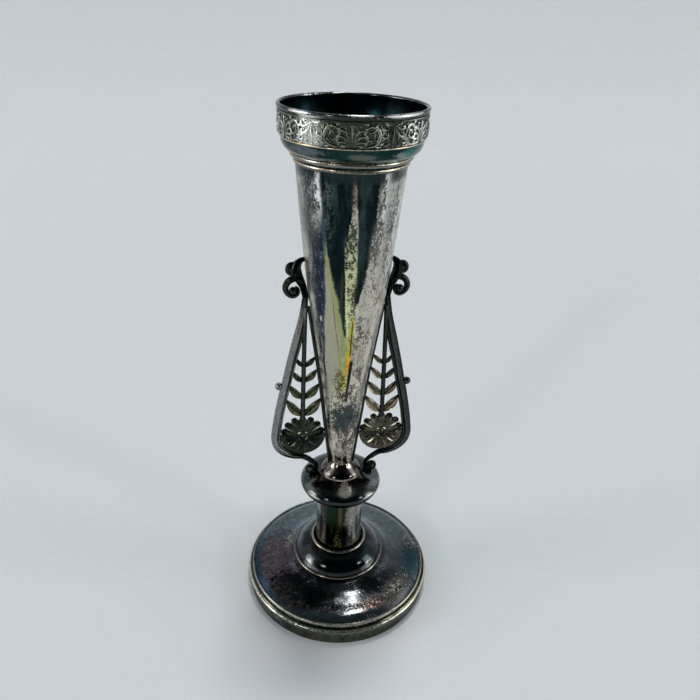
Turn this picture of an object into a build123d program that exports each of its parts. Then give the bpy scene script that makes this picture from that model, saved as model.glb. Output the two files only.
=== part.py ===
"""Trumpet vase on a round foot, with a pierced handle on each side.

The origin is in the middle under the foot, +Z is up and the handles lie along X.
The spun pieces are turned about Z and stacked on one threaded rod. Each handle is a
flat casting in the plane y = 0, cut to sit on the trumpet, the collar and the knop.
All lengths are in millimetres.
"""
from build123d import *
from math import cos, pi, sin, sqrt
import os

os.makedirs("parts", exist_ok=True)

# Foot: a skirt with a bead, a falling plate and a domed boss
foot_radius = 45.4
skirt_height = 9.2
skirt_wall = 1.1
skirt_lip_width = 1.6
skirt_lip_thickness = 0.9
foot_bead_height = 2.4
foot_bead_bulge = 0.9
foot_bead_drop = 0.7
plate_wall = 0.9
plate_edge_rise = 1.4
plate_edge_corner = 0.8
plate_turn_down = 4.5
plate_rise = 6.0
plate_ledge_width = 2.4
boss_radius = 22.0
boss_wall = 0.9
boss_rise = 9.2
boss_crown_bulge = 1.4
boss_wire_height = 1.6
boss_wire_bulge = 0.8

# Stem: a tube that stands in a well inside the boss's crown
stem_radius = 11.2
stem_wall = 0.9
well_depth = 1.9
well_gap = 1.1
stem_ring_width = 1.6
stem_ring_height = 0.8
stem_length = 38.5
stem_flare = 1.0
stem_flare_rise = 11.0
knop_ring_height = 1.4
knop_ring_bulge = 0.8

# Knop: two half shells that meet at the widest line
knop_radius = 19.3
knop_wall = 0.9
knop_lower_depth = 8.8
knop_upper_height = 6.6

# Collar between the knop and the trumpet
collar_radius = 9.7
collar_height = 6.0
collar_bore = 3.7

# Trumpet: a long spun taper with a short straight neck at its top
trumpet_bottom_radius = 5.0
trumpet_top_radius = 21.4
trumpet_length = 140.0
trumpet_wall = 0.8
neck_length = 5.2
plug_depth = 6.0

# Wires, cup and engraved band round the mouth
neck_wire_height = 1.8
neck_wire_bulge = 0.9
neck_wire_rise = 1.0
cove_ring_height = 1.8
cove_ring_bulge = 2.2
cove_height = 5.1
cove_wall = 0.9
cove_foot_step = 0.4
cove_swell = 0.8
cove_slant_share = 0.7
band_radius = 27.9
band_wall = 1.0
band_height = 8.3
band_chamfer = 1.2
band_edge_height = 2.2
lip_height = 1.2
lip_bulge = 0.2

# Threaded rod, nut and washer that pull the stack together
rod_radius = 2.0
rod_clearance = 0.3
rod_tail = 2.0
nut_across_flats = 7.0
nut_thickness = 3.2
washer_radius = 9.0
washer_thickness = 1.5

# Handles
handle_spread = 16.0
corner_rise = 18.7
bar_width = 4.4
bar_thickness = 3.0
inner_bar_width = 1.5
stem_bar_width = 2.1
web_thickness = 2.0
top_thickness = 2.6
seat_overlap = 0.4
scroll_ball_radius = 2.2
bar_bead_radius = 1.8
top_ball_radius = 2.6
top_lobe_radius = 1.5
leaf_thickness = 1.3
leaf_pairs = 4
rosette_thickness = 2.4
petal_count = 14
rivet_radius = 1.0
rivet_head_radius = 1.9
rivet_head_height = 0.9

# Shapes as shares of the sizes that they follow
trumpet_shares = [(0, 0), (0.19, 0.19), (0.33, 0.33), (0.47, 0.495), (0.61, 0.67), (0.76, 0.815), (1, 1)]
plate_shares = [(0, 0), (0.18, 0.27), (0.49, 0.52), (0.8, 0.73), (1, 1)]
collar_shares = [(0, 0), (0.28, 0.3), (0.7, 0.57), (0.94, 0.8), (1, 1)]
handle_top_share = 0.61
scroll_place_share = 0.77
scroll_lift_share = 1.27
bar_bead_share = 0.4
rosette_place_share = 1.085
petal_reach_share = 0.82
leaf_width_share = 0.33
leaf_slope_share = 0.8
leaf_start_share = 0.03
leaf_step_share = 0.145
bar_upper_shares = [
    (0, 1), (0.09, 0.87), (0.259, 0.715), (0.433, 0.576), (0.585, 0.444),
    (0.726, 0.326), (0.867, 0.194), (0.97, 0.069), (1, 0)]
bar_lower_shares = [(0.92, -0.26), (0.725, -0.44), (0.475, -0.545), (0.225, -0.59), (0.02, -0.7)]
bar_width_shares = [(0, 0.6), (0.15, 1), (0.68, 1), (0.8, 0.78), (0.9, 0.6), (0.95, 0.42), (1, 0.3)]
scroll_shares = [(-1.05, 1.5), (-1.42, 0.35), (-1.15, -0.7), (-0.2, -1.05)]
arch_shares = [(0.62, 6.5), (1.42, 5.6), (1.4, 4.42), (0.75, 3.0), (0.25, 1.35), (0, 0)]
arch_width_shares = [(0, 0.4), (0.25, 0.9), (0.5, 1.1), (0.8, 0.9), (1, 1)]
top_ball_shares = [(1.88, 1.2)]
top_lobe_shares = [(1.4, 5.2), (2.65, 4.65)]
top_scroll_shares = [(0.57, 2.66), (1.76, 3.05), (2.92, 2.51), (3.25, 1.43), (2.75, 0.5), (2, 0.15)]
top_scroll_width_shares = [(0, 0.8), (0.5, 0.7), (1, 0.4)]
leaf_outline_shares = [(0, 0.3), (0.25, 0.85), (0.5, 1), (0.75, 0.85), (1, 0.3)]

# Heights of the seams, upwards from the ground
ledge_z = skirt_height + plate_edge_rise + plate_rise
crown_z = ledge_z + boss_rise
well_z = crown_z - well_depth
seam_z = well_z + stem_length
collar_top_z = seam_z + knop_upper_height * sqrt(1 - (collar_radius / knop_radius) ** 2) + collar_height
neck_z = collar_top_z + trumpet_length
neck_top_z = neck_z + neck_length
cove_top_z = neck_top_z + cove_height
band_z = cove_top_z + band_edge_height
band_top_z = band_z + band_height
vase_height = band_top_z + lip_height


def spin(*edges):
    """The solid that a closed outline of (radius, height) edges sweeps about Z."""
    return revolve(Plane.XZ * make_face(Curve() + list(edges)), Axis.Z)


def spin_polygon(*points):
    """The solid that a closed polygon of (radius, height) points sweeps about Z."""
    return spin(Polyline(*points, close=True))


def wire_ring(back_radius, bottom_z, height, bulge):
    """A half-round wire: its flat back on a cylinder, its belly standing out by bulge."""
    low = (back_radius, bottom_z)
    high = (back_radius, bottom_z + height)
    belly = (back_radius + bulge, bottom_z + height / 2)
    return spin(ThreePointArc(low, belly, high), Line(high, low))


def along(points, start, run, rise):
    """Points given as shares of a run and a rise, counted from a start point."""
    return [(start[0] + across * run, start[1] + up * rise) for across, up in points]


def interpolate(table, x):
    """The straight-line value at x in a rising table of (x, value) pairs."""
    if x <= table[0][0]:
        return table[0][1]
    for (x0, y0), (x1, y1) in zip(table, table[1:]):
        if x <= x1:
            return y0 + (y1 - y0) * (x - x0) / (x1 - x0)
    return table[-1][1]


# Foot
skirt_inside = foot_radius - skirt_wall
foot_skirt = spin_polygon(
    (skirt_inside - skirt_lip_width, 0), (foot_radius, 0), (foot_radius, skirt_height),
    (skirt_inside, skirt_height), (skirt_inside, skirt_lip_thickness),
    (skirt_inside - skirt_lip_width, skirt_lip_thickness))
foot_bead_z = skirt_height - foot_bead_drop - foot_bead_height
foot_bead = wire_ring(foot_radius, foot_bead_z, foot_bead_height, foot_bead_bulge)

plate_edge_z = skirt_height + plate_edge_rise
plate_top_start = (boss_radius + plate_ledge_width, ledge_z)
plate_run = skirt_inside - plate_edge_corner - plate_top_start[0]
plate_top = along(plate_shares, plate_top_start, plate_run, -plate_rise)
plate_under = [(r, z - plate_wall) for r, z in plate_top]
plate_under[-1] = (plate_under[-1][0] - plate_wall / 2, plate_under[-1][1])
plate_hole = boss_radius - 2 * boss_wall
plate_end_z = plate_edge_z - plate_turn_down
plate_shoulder = (skirt_inside, plate_edge_z - plate_edge_corner)
foot_plate = spin(
    Polyline(plate_under[0], (plate_hole, ledge_z - plate_wall), (plate_hole, ledge_z), plate_top[0]),
    Spline(*plate_top),
    RadiusArc(plate_top[-1], plate_shoulder, plate_edge_corner),
    Polyline(plate_shoulder, (skirt_inside, plate_end_z), (skirt_inside - plate_wall, plate_end_z),
             (skirt_inside - plate_wall, plate_under[-1][1] - plate_wall), plate_under[-1]),
    Spline(*reversed(plate_under)))

ring_inside = stem_radius + well_gap
ring_outside = ring_inside + stem_ring_width
crown_low = (boss_radius, ledge_z)
crown_high = (ring_outside, crown_z)
crown_mid = ((boss_radius + ring_outside) / 2 + boss_crown_bulge,
             (ledge_z + crown_z) / 2 + boss_crown_bulge)
inner_low = (boss_radius - boss_wall, ledge_z)
inner_high = (ring_outside - boss_wall / 2, crown_z - boss_wall)
inner_mid = (crown_mid[0] - boss_wall / sqrt(2), crown_mid[1] - boss_wall / sqrt(2))
rod_hole = rod_radius + rod_clearance
foot_boss = spin(
    ThreePointArc(crown_low, crown_mid, crown_high),
    Polyline(crown_high, (ring_inside, crown_z), (ring_inside, well_z), (rod_hole, well_z),
             (rod_hole, well_z - boss_wall), (ring_inside + boss_wall / 2, well_z - boss_wall), inner_high),
    ThreePointArc(inner_high, inner_mid, inner_low),
    Line(inner_low, crown_low))
boss_wire = wire_ring(boss_radius, ledge_z, boss_wire_height, boss_wire_bulge) - foot_boss
stem_ring_low = (ring_inside, crown_z)
stem_ring_high = (ring_outside, crown_z)
stem_ring_mid = ((ring_inside + ring_outside) / 2, crown_z + stem_ring_height)
stem_ring = spin(ThreePointArc(stem_ring_low, stem_ring_mid, stem_ring_high),
                 Line(stem_ring_high, stem_ring_low))


# Knop: each half is half an ellipsoid with a wall
def half_ellipsoid(radius, rise):
    """Half an ellipsoid on the seam's plane; rise is negative for the lower half."""
    turn = 90 if rise > 0 else -90
    edge = EllipticalCenterArc((0, seam_z), radius, abs(rise), start_angle=0, arc_size=turn)
    pole = (0, seam_z + rise)
    return spin(edge, Line(pole, (0, seam_z)), Line((0, seam_z), (radius, seam_z)))


def knop_height(radius):
    """The height of the knop's upper surface at a radius."""
    return seam_z + knop_upper_height * sqrt(1 - (radius / knop_radius) ** 2)


def bore(radius, bottom_z, top_z):
    """A cylinder on Z between two heights, to cut or to turn a pin from."""
    return spin_polygon((0, bottom_z), (radius, bottom_z), (radius, top_z), (0, top_z))


knop_upper_solid = half_ellipsoid(knop_radius, knop_upper_height)
knop_lower_solid = half_ellipsoid(knop_radius, -knop_lower_depth)
knop_inside = half_ellipsoid(knop_radius - knop_wall, knop_upper_height - knop_wall)
knop_inside += half_ellipsoid(knop_radius - knop_wall, knop_wall - knop_lower_depth)
knop_upper_shell = knop_upper_solid - knop_inside - bore(collar_bore, seam_z, collar_top_z)
knop_lower_shell = knop_lower_solid - knop_inside - bore(rod_hole, well_z, seam_z)

# Stem, with the ring that hides its upper joint
stem_inside = stem_radius - stem_wall
stem_foot = (stem_radius + stem_flare, well_z)
stem_waist = (stem_radius, well_z + stem_flare_rise)
stem_bend = (stem_radius + stem_flare / 4, well_z + stem_flare_rise / 2)
stem_tube = spin(
    Polyline(stem_waist, (stem_radius, seam_z), (stem_inside, seam_z), (stem_inside, well_z), stem_foot),
    ThreePointArc(stem_foot, stem_bend, stem_waist))
stem_tube -= knop_lower_solid
joint_z = seam_z - knop_lower_depth * sqrt(1 - (stem_radius / knop_radius) ** 2)
knop_ring = wire_ring(stem_radius, joint_z - knop_ring_height / 2, knop_ring_height, knop_ring_bulge)
knop_ring -= knop_lower_solid

# Collar
collar_start = (trumpet_bottom_radius, collar_top_z)
collar_edge = along(collar_shares, collar_start, collar_radius - trumpet_bottom_radius, -collar_height)
bell_collar = spin(
    Spline(*collar_edge),
    Polyline(collar_edge[-1], (collar_radius, seam_z), (collar_bore, seam_z),
             (collar_bore, collar_top_z), collar_edge[0]))
bell_collar -= knop_upper_solid

# Trumpet
trumpet_start = (trumpet_bottom_radius, collar_top_z)
trumpet_line = along([(width, rise) for rise, width in trumpet_shares], trumpet_start,
                     trumpet_top_radius - trumpet_bottom_radius, trumpet_length)
trumpet_inner_line = [(r - trumpet_wall, z) for r, z in trumpet_line]
throat = trumpet_top_radius - trumpet_wall
trumpet_solid = spin(
    Spline(*trumpet_line),
    Polyline(trumpet_line[-1], (trumpet_top_radius, neck_top_z), (0, neck_top_z),
             (0, collar_top_z), trumpet_start))
trumpet_inside = spin(
    Spline(*trumpet_inner_line),
    Polyline(trumpet_inner_line[-1], (throat, neck_top_z), (0, neck_top_z),
             (0, collar_top_z), trumpet_inner_line[0]))
trumpet_body = trumpet_solid - trumpet_inside


def wall_radius(z):
    """The outer radius of the trumpet at a height, and of its lower end below it."""
    return interpolate([(height, r) for r, height in trumpet_line], z)


# Plug that closes the trumpet's lower end and holds the rod
plug_stub_z = knop_height(collar_bore) - knop_wall
plug_top_z = collar_top_z + plug_depth
rod_top_z = collar_top_z + plug_depth / 2
trumpet_plug = trumpet_inside & bore(throat, collar_top_z, plug_top_z)
trumpet_plug += bore(collar_bore, plug_stub_z, collar_top_z)
trumpet_plug -= bore(rod_radius, plug_stub_z, rod_top_z)

# Rod, washer and nut
washer_z = well_z - boss_wall - washer_thickness
nut_z = washer_z - nut_thickness
tie_rod = bore(rod_radius, nut_z - rod_tail, rod_top_z)
washer_top_z = washer_z + washer_thickness
rod_washer = spin_polygon(
    (rod_radius, washer_z), (washer_radius, washer_z),
    (washer_radius, washer_top_z), (rod_radius, washer_top_z))
nut_outline = RegularPolygon(nut_across_flats / 2, 6, major_radius=False)
rod_nut = Pos(0, 0, nut_z) * extrude(nut_outline, nut_thickness) - bore(rod_radius, nut_z, washer_z)

# Wires and the cup-shaped moulding round the neck
neck_wire_z = neck_z + neck_wire_rise
neck_wire = wire_ring(trumpet_top_radius, neck_wire_z, neck_wire_height, neck_wire_bulge)
ring_reach = trumpet_top_radius + cove_ring_bulge
ring_nose = cove_ring_height / 2
ring_low_z = neck_top_z - cove_ring_height
cove_ring = spin(
    Polyline((ring_reach - ring_nose, neck_top_z), (trumpet_top_radius, neck_top_z),
             (trumpet_top_radius, ring_low_z), (ring_reach - ring_nose, ring_low_z)),
    ThreePointArc((ring_reach - ring_nose, ring_low_z), (ring_reach, ring_low_z + ring_nose),
                  (ring_reach - ring_nose, neck_top_z)))

cove_low = (ring_reach - cove_foot_step, neck_top_z)
cove_high = (band_radius - band_chamfer, cove_top_z)
cove_mid = ((cove_low[0] + cove_high[0]) / 2 + cove_swell,
            (cove_low[1] + cove_high[1]) / 2 - cove_swell)
cove_slant = cove_wall * cove_slant_share
cove_inner_low = (cove_low[0] - cove_wall, neck_top_z + cove_wall)
cove_inner_high = (cove_high[0] - cove_wall, cove_top_z)
cove_inner_mid = (cove_mid[0] - cove_slant, cove_mid[1] + cove_slant)
cove_moulding = spin(
    ThreePointArc(cove_low, cove_mid, cove_high),
    Line(cove_high, cove_inner_high),
    ThreePointArc(cove_inner_high, cove_inner_mid, cove_inner_low),
    Polyline(cove_inner_low, (throat, neck_top_z + cove_wall), (throat, neck_top_z), cove_low))

band_inside = band_radius - band_wall
band_edge_ring = spin_polygon(cove_inner_high, cove_high, (band_radius, band_z), (band_inside, band_z))
ornament_band = spin_polygon((band_inside, band_z), (band_radius, band_z),
                             (band_radius, band_top_z), (band_inside, band_top_z))
lip_low = (band_inside - lip_bulge, band_top_z)
lip_high = (band_radius + lip_bulge, band_top_z)
lip_wire = spin(ThreePointArc(lip_low, ((lip_low[0] + lip_high[0]) / 2, vase_height), lip_high),
                Line(lip_high, lip_low))


# Handles: the points are (distance from the axis, height) on the right side
def plate(outline, thickness):
    """A flat face of the handle's plane, thickened evenly to both sides."""
    return extrude(Plane.XZ * outline, thickness / 2, both=True)


def ribbon(points, width, width_shares):
    """A strip along a smooth line through the points; its width follows the shares."""
    line = Spline(*points)
    steps = 6 * len(points)
    left = []
    right = []
    for step in range(steps + 1):
        at = step / steps
        half = interpolate(width_shares, at) * width / 2
        here = line @ at
        ahead = line % at
        left.append((here.X - ahead.Y * half, here.Y + ahead.X * half))
        right.append((here.X + ahead.Y * half, here.Y - ahead.X * half))
    right.reverse()
    ends = [Line(left[-1], right[0]), Line(right[-1], left[0])]
    return make_face(Curve() + [Spline(*left), ends[0], Spline(*right), ends[1]])


def disc(place, radius):
    """A round face at a place in the handle's plane."""
    return Pos(*place) * Circle(radius)


ball_x = knop_radius * scroll_place_share
ball_z = knop_height(ball_x) + scroll_ball_radius * scroll_lift_share
ball = (ball_x, ball_z)
corner = (ball_x + handle_spread, ball_z + corner_rise)
top_z = collar_top_z + handle_top_share * trumpet_length
top = (wall_radius(top_z) + bar_width * bar_width_shares[0][1] / 2, top_z)
bar_upper = [(top[0] + across * (corner[0] - top[0]), corner[1] + up * (top[1] - corner[1]))
             for across, up in bar_upper_shares]
bar_lower = along(bar_lower_shares, (ball_x, corner[1]), handle_spread, corner_rise)
scroll = along(scroll_shares, ball, scroll_ball_radius, scroll_ball_radius)


def bar_inner(z):
    """The inner edge of the outer bar at a height above its corner."""
    return interpolate([(height, x) for x, height in reversed(bar_upper)], z) - bar_width / 2


top_ball = along(top_ball_shares, top, top_ball_radius, top_ball_radius)[0]
top_lobe = along(top_lobe_shares, top, top_ball_radius, top_ball_radius)
top_scroll = along(top_scroll_shares, top, top_ball_radius, top_ball_radius)
arch = along(arch_shares, top, top_ball_radius, top_ball_radius)
arch.insert(0, (wall_radius(arch[0][1]) - seat_overlap, arch[0][1]))
outer_bar = plate(ribbon(bar_upper + bar_lower + scroll, bar_width, bar_width_shares), bar_thickness)
scroll_ball = plate(disc(ball, scroll_ball_radius), bar_thickness)
top_arch = plate(ribbon(arch, bar_width * bar_width_shares[0][1], arch_width_shares), top_thickness)
top_arch += plate(ribbon(top_scroll, bar_width / 2, top_scroll_width_shares), top_thickness)
top_arch += plate(disc(top_ball, top_ball_radius), top_thickness)
top_arch += plate(ribbon(top_lobe, top_lobe_radius, [(0, 1), (1, 1)]), top_thickness)
top_arch += plate(disc(top_lobe[1], top_lobe_radius), top_thickness)
handle_frame = outer_bar + scroll_ball + top_arch
handle_frame = handle_frame - trumpet_solid - knop_upper_solid

# Leaf spray: an inner bar down the wall, a stem and its pairs of leaves
rosette_z = ball_z + rosette_place_share * corner_rise
inner_bar_edge = wall_radius(rosette_z) + inner_bar_width
rosette_x = (inner_bar_edge + bar_inner(rosette_z)) / 2
rosette_radius = (bar_inner(rosette_z) - inner_bar_edge) / 2 + seat_overlap
stem_low = (rosette_x, rosette_z + rosette_radius * petal_reach_share)


def stem_x(z):
    """The middle of the stem at a height: a straight line from the rosette to the top."""
    return interpolate([(stem_low[1], stem_low[0]), (top[1], top[0])], z)


inner_bar_top = top_z - bar_width
inner_bar_heights = [collar_top_z - collar_height / 2, collar_top_z]
inner_bar_heights += [z for _, z in trumpet_line[1:] if z < inner_bar_top - bar_width]
inner_bar_heights += [inner_bar_top]
inner_bar_line = [(wall_radius(z) + inner_bar_width / 2 - seat_overlap / 2, z) for z in inner_bar_heights]
stem_high = (stem_x(inner_bar_top), inner_bar_top)
spray = plate(ribbon(inner_bar_line, inner_bar_width + seat_overlap, [(0, 1), (1, 1)]), web_thickness)
spray += plate(ribbon([stem_low, stem_high], stem_bar_width, [(0, 1), (1, 1)]), web_thickness)
for pair in range(leaf_pairs):
    root_z = stem_low[1] + (leaf_start_share + leaf_step_share * pair) * (top_z - stem_low[1])
    root = (stem_x(root_z), root_z)
    outer_gap = bar_inner(root_z) - root[0]
    outer_tip_z = root_z + outer_gap * leaf_slope_share
    inner_gap = root[0] - wall_radius(root_z) - inner_bar_width
    inner_tip_z = root_z + inner_gap * leaf_slope_share
    tips = [(bar_inner(outer_tip_z) + seat_overlap, outer_tip_z),
            (wall_radius(inner_tip_z) + inner_bar_width / 2, inner_tip_z)]
    for tip in tips:
        length = sqrt((tip[0] - root[0]) ** 2 + (tip[1] - root[1]) ** 2)
        middle = ((tip[0] + root[0]) / 2, (tip[1] + root[1]) / 2)
        leaf = ribbon([root, middle, tip], length * leaf_width_share, leaf_outline_shares)
        spray += plate(leaf, leaf_thickness)
leaf_spray = spray - handle_frame - trumpet_solid - bell_collar - bore(collar_bore, seam_z, collar_top_z)

# Rosette: petals round a disc, its lower half a full round, and a rivet through it
petal_reach = rosette_radius * petal_reach_share
petal_radius = rosette_radius - petal_reach
rosette_face = Circle(petal_reach)
lower_half = Pos(0, -rosette_radius / 2) * Rectangle(2 * rosette_radius, rosette_radius)
rosette_face += Circle(rosette_radius) & lower_half
for petal in range(petal_count):
    turn = 2 * pi * (petal + 0.5) / petal_count
    rosette_face += Pos(petal_reach * cos(turn), petal_reach * sin(turn)) * Circle(petal_radius)
rosette_face -= Circle(rivet_radius)
rosette = plate(Pos(rosette_x, rosette_z) * rosette_face, rosette_thickness) - handle_frame - leaf_spray
half_rosette = rosette_thickness / 2
head_tip = half_rosette + rivet_head_height
rivet = spin(
    Polyline((0, -head_tip), (0, head_tip)),
    Spline((0, head_tip), (rivet_head_radius, half_rosette), tangents=[(1, 0), (0, -1)]),
    Polyline((rivet_head_radius, half_rosette), (rivet_radius, half_rosette), (rivet_radius, -half_rosette),
             (rivet_head_radius, -half_rosette)),
    Spline((rivet_head_radius, -half_rosette), (0, -head_tip), tangents=[(0, -1), (-1, 0)]))
rosette_rivet = Pos(rosette_x, 0, rosette_z) * Rot(90, 0, 0) * rivet

bead_z = corner[1] + bar_bead_share * (top_z - corner[1])
bead_x = bar_inner(bead_z) + bar_width + bar_bead_radius / 2
bar_bead = Pos(bead_x, 0, bead_z) * Sphere(bar_bead_radius) - handle_frame

# Write each piece, and each handle's pieces once for either side
pieces = {
    "foot_skirt": foot_skirt,
    "foot_bead_wire": foot_bead,
    "foot_plate": foot_plate,
    "foot_boss": foot_boss,
    "boss_wire": boss_wire,
    "stem_ring": stem_ring,
    "stem_tube": stem_tube,
    "knop_ring": knop_ring,
    "knop_lower_shell": knop_lower_shell,
    "knop_upper_shell": knop_upper_shell,
    "bell_collar": bell_collar,
    "trumpet_plug": trumpet_plug,
    "trumpet_body": trumpet_body,
    "neck_wire": neck_wire,
    "cove_ring": cove_ring,
    "cove_moulding": cove_moulding,
    "band_edge_ring": band_edge_ring,
    "ornament_band": ornament_band,
    "lip_wire": lip_wire,
    "tie_rod": tie_rod,
    "rod_washer": rod_washer,
    "rod_nut": rod_nut,
}
handle_pieces = {
    "handle_frame": handle_frame,
    "handle_leaf_spray": leaf_spray,
    "handle_rosette": rosette,
    "handle_rivet": rosette_rivet,
    "handle_bead": bar_bead,
}
for name, solid in handle_pieces.items():
    pieces[name + "_right"] = solid
    pieces[name + "_left"] = mirror(solid, about=Plane.YZ)
for name, solid in pieces.items():
    export_step(solid, os.path.join("parts", name + ".step"))
handle_reach = corner[0] + bar_width / 2
print("pieces", len(pieces), "height", round(vase_height, 2), "handle reach", round(handle_reach, 2))
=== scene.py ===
# %% [markdown]
# # A tarnished silver trumpet vase
# The vase is a stack of spun metal pieces on a round foot: a stem, a flattened knop, a
# small collar and a long trumpet with a chased band round its mouth. A flat cast handle
# with leaves and a rosette stands on each side. Everything here is in metres, in the
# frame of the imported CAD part, and the sizes are written in millimetres and multiplied
# by MM. The front, where the viewer stands, is towards -Y.

# %% Load the frame
from cmath import phase
from math import cos, pi, radians, sin, sqrt

import bmesh
import bpy
from mathutils import Matrix, Vector, geometry


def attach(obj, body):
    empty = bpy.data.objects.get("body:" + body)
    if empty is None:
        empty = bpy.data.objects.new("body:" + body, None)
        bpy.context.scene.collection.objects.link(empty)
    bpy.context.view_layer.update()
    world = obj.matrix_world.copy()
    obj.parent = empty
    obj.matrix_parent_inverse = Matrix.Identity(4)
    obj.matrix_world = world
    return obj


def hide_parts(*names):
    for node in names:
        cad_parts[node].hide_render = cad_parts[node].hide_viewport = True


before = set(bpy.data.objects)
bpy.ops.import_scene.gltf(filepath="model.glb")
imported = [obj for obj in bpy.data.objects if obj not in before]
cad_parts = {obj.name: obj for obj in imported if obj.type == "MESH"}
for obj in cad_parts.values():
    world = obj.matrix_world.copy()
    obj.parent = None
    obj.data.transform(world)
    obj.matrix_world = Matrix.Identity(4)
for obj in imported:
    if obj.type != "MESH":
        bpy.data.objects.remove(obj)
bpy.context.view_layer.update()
MM = 0.001

# %% [markdown]
# ## The camera
# The photograph looks down on the vase by about 29 degrees, from a little to the left
# of straight in front, with the head tipped by two degrees. A camera looks along its own
# -Z axis, so its matrix is built from three directions: right, up and backwards.

# %% Camera
CAMERA_PLACE = Vector((-39.3, -248.12, 271.37)) * MM
HEADING, PITCH, ROLL = 0.1661, 0.50089, 0.03972
ahead = Vector((sin(HEADING) * cos(PITCH), cos(HEADING) * cos(PITCH), -sin(PITCH)))
level_right = Vector((cos(HEADING), -sin(HEADING), 0))
level_up = level_right.cross(ahead)
camera_right = cos(ROLL) * level_right + sin(ROLL) * level_up
camera_up = cos(ROLL) * level_up - sin(ROLL) * level_right

lens = bpy.data.cameras.new("camera")
lens.lens, lens.sensor_width, lens.clip_start = 33.69, 36, 0.01
camera = bpy.data.objects.new("camera", lens)
turn = Matrix((camera_right, camera_up, -ahead)).transposed().to_4x4()
camera.matrix_world = Matrix.Translation(CAMERA_PLACE) @ turn
bpy.context.scene.collection.objects.link(camera)
bpy.context.scene.camera = camera
print("camera looks down by", round(PITCH * 180 / pi, 1), "degrees")

# %% [markdown]
# ## Floor and light
# A metal shows what stands round it. The studio is a pale tent: its walls glow at the
# sides and the back, its roof is dim with two round lamps side by side in it, an upright
# strip of light stands on either side, and two small lamps stand in front. It is open and
# dark towards the viewer, which gives polished metal its dark middle. All of this is
# painted into the world by direction, so it stays in place when the camera goes round, and
# the floor is lit evenly, as area lamps near the vase wouldn't do.
#
# Materials and the world are trees of nodes, so the helpers for them come first. They work
# on one tree at a time, the one named tree. What a node gives is kept as a Value, and then
# a sum or product of two such values can be written with + or * and becomes a Math node.


# %% Nodes: one short helper for every material and the world
def put(socket, value):
    """Links a value to a socket, or sets the socket to a number, a direction or a colour."""
    if isinstance(value, Value):
        tree.links.new(value.socket, socket)
    elif socket.type == "RGBA":
        socket.default_value = (*value, 1.0)
    else:
        socket.default_value = value


def node(kind, inputs=None, output=0, **settings):
    """Adds a node to the tree in hand, sets its options and inputs, and gives one output."""
    made = tree.nodes.new(kind)
    for name, value in settings.items():
        setattr(made, name, value)
    for name, value in (inputs or {}).items():
        put(made.inputs[name], value)
    return Value(made.outputs[output])


def maths(operation, *values):
    """The result of a Math node for one or two values."""
    return node("ShaderNodeMath", dict(enumerate(values)), operation=operation)


class Value:
    """An output in the node tree. Sums and products with it are Math nodes."""

    def __init__(self, socket):
        self.socket = socket

    def __add__(self, other):
        return maths("ADD", self, other)

    def __radd__(self, other):
        return maths("ADD", other, self)

    def __sub__(self, other):
        return maths("SUBTRACT", self, other)

    def __rsub__(self, other):
        return maths("SUBTRACT", other, self)

    def __mul__(self, other):
        return maths("MULTIPLY", self, other)

    def __truediv__(self, other):
        return maths("DIVIDE", self, other)

    def __abs__(self):
        return maths("ABSOLUTE", self)


def split(vector):
    """The x, y and z of a vector."""
    return [Value(part) for part in node("ShaderNodeSeparateXYZ", {0: vector}).socket.node.outputs]


def remap(value, low, high, new_low=0.0, new_high=1.0, kind="SMOOTHSTEP"):
    """Maps a value from one range to another and stops at both ends."""
    ends = {"From Min": low, "From Max": high, "To Min": new_low, "To Max": new_high}
    return node("ShaderNodeMapRange", {"Value": value, **ends}, interpolation_type=kind)


def blend(share, low, high):
    """Mixes two colours by a share."""
    return node("ShaderNodeMix", {0: share, 6: low, 7: high}, 2, data_type="RGBA")


# %% World: a pale tent, open towards the viewer
world = bpy.data.worlds.new("light_tent")
world.use_nodes = True
tree = world.node_tree
direction = node("ShaderNodeTexCoord", output="Generated")
x, y, z = split(direction)
WALL_GLOW, ROOF_GLOW, OPEN_GLOW = (0.74, 0.78, 0.82), (0.15, 0.16, 0.17), (0.025, 0.032, 0.036)
glow = blend(remap(z, 0.62, 0.82), WALL_GLOW, ROOF_GLOW)
glow = blend(remap(y * -1.0, 0.05, 0.55), glow, OPEN_GLOW)

# %% Lamps in the tent
def round_lamp(glow, towards, size, strength):
    """Adds a round soft lamp in a direction; size is its half angle in degrees."""
    aim = Vector(towards).normalized()
    along = node("ShaderNodeVectorMath", {0: direction, 1: aim}, "Value", operation="DOT_PRODUCT")
    share = remap(along, cos(radians(size * 1.3)), cos(radians(size * 0.7)))
    return blend(share, glow, (strength,) * 3)


def strip_lamp(glow, heading, half_width, low, high, strength):
    """Adds an upright strip: heading and half width in degrees, ends as sines of the height."""
    across = x * sin(radians(heading)) + y * -cos(radians(heading))
    along = across / maths("MAXIMUM", maths("SQRT", x * x + y * y), 0.001)
    share = remap(along, cos(radians(half_width * 1.4)), cos(radians(half_width * 0.6)))
    share = share * remap(z, low - 0.05, low + 0.05) * remap(z, high + 0.08, high - 0.08)
    return blend(share, glow, (strength,) * 3)


STRIP_LOW, STRIP_HIGH, STRIP_STRENGTH = -0.3, 0.5, 5.5
for towards in ((0.030, 0.19, 0.97), (0.135, 0.19, 0.97)):
    glow = round_lamp(glow, towards, 3.0, 52.0)
for heading, half_width in ((-86, 9), (74, 8)):
    glow = strip_lamp(glow, heading, half_width, STRIP_LOW, STRIP_HIGH, STRIP_STRENGTH)
glow = round_lamp(glow, (-0.62, -0.62, 0.40), 4.0, 17.0)
glow = round_lamp(glow, (0.70, -0.55, 0.43), 3.5, 19.0)
put(tree.nodes["Background"].inputs["Color"], glow)
bpy.context.scene.world = world
print("the tent has two lamps in its roof, two strips and two small lamps in front")

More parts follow.
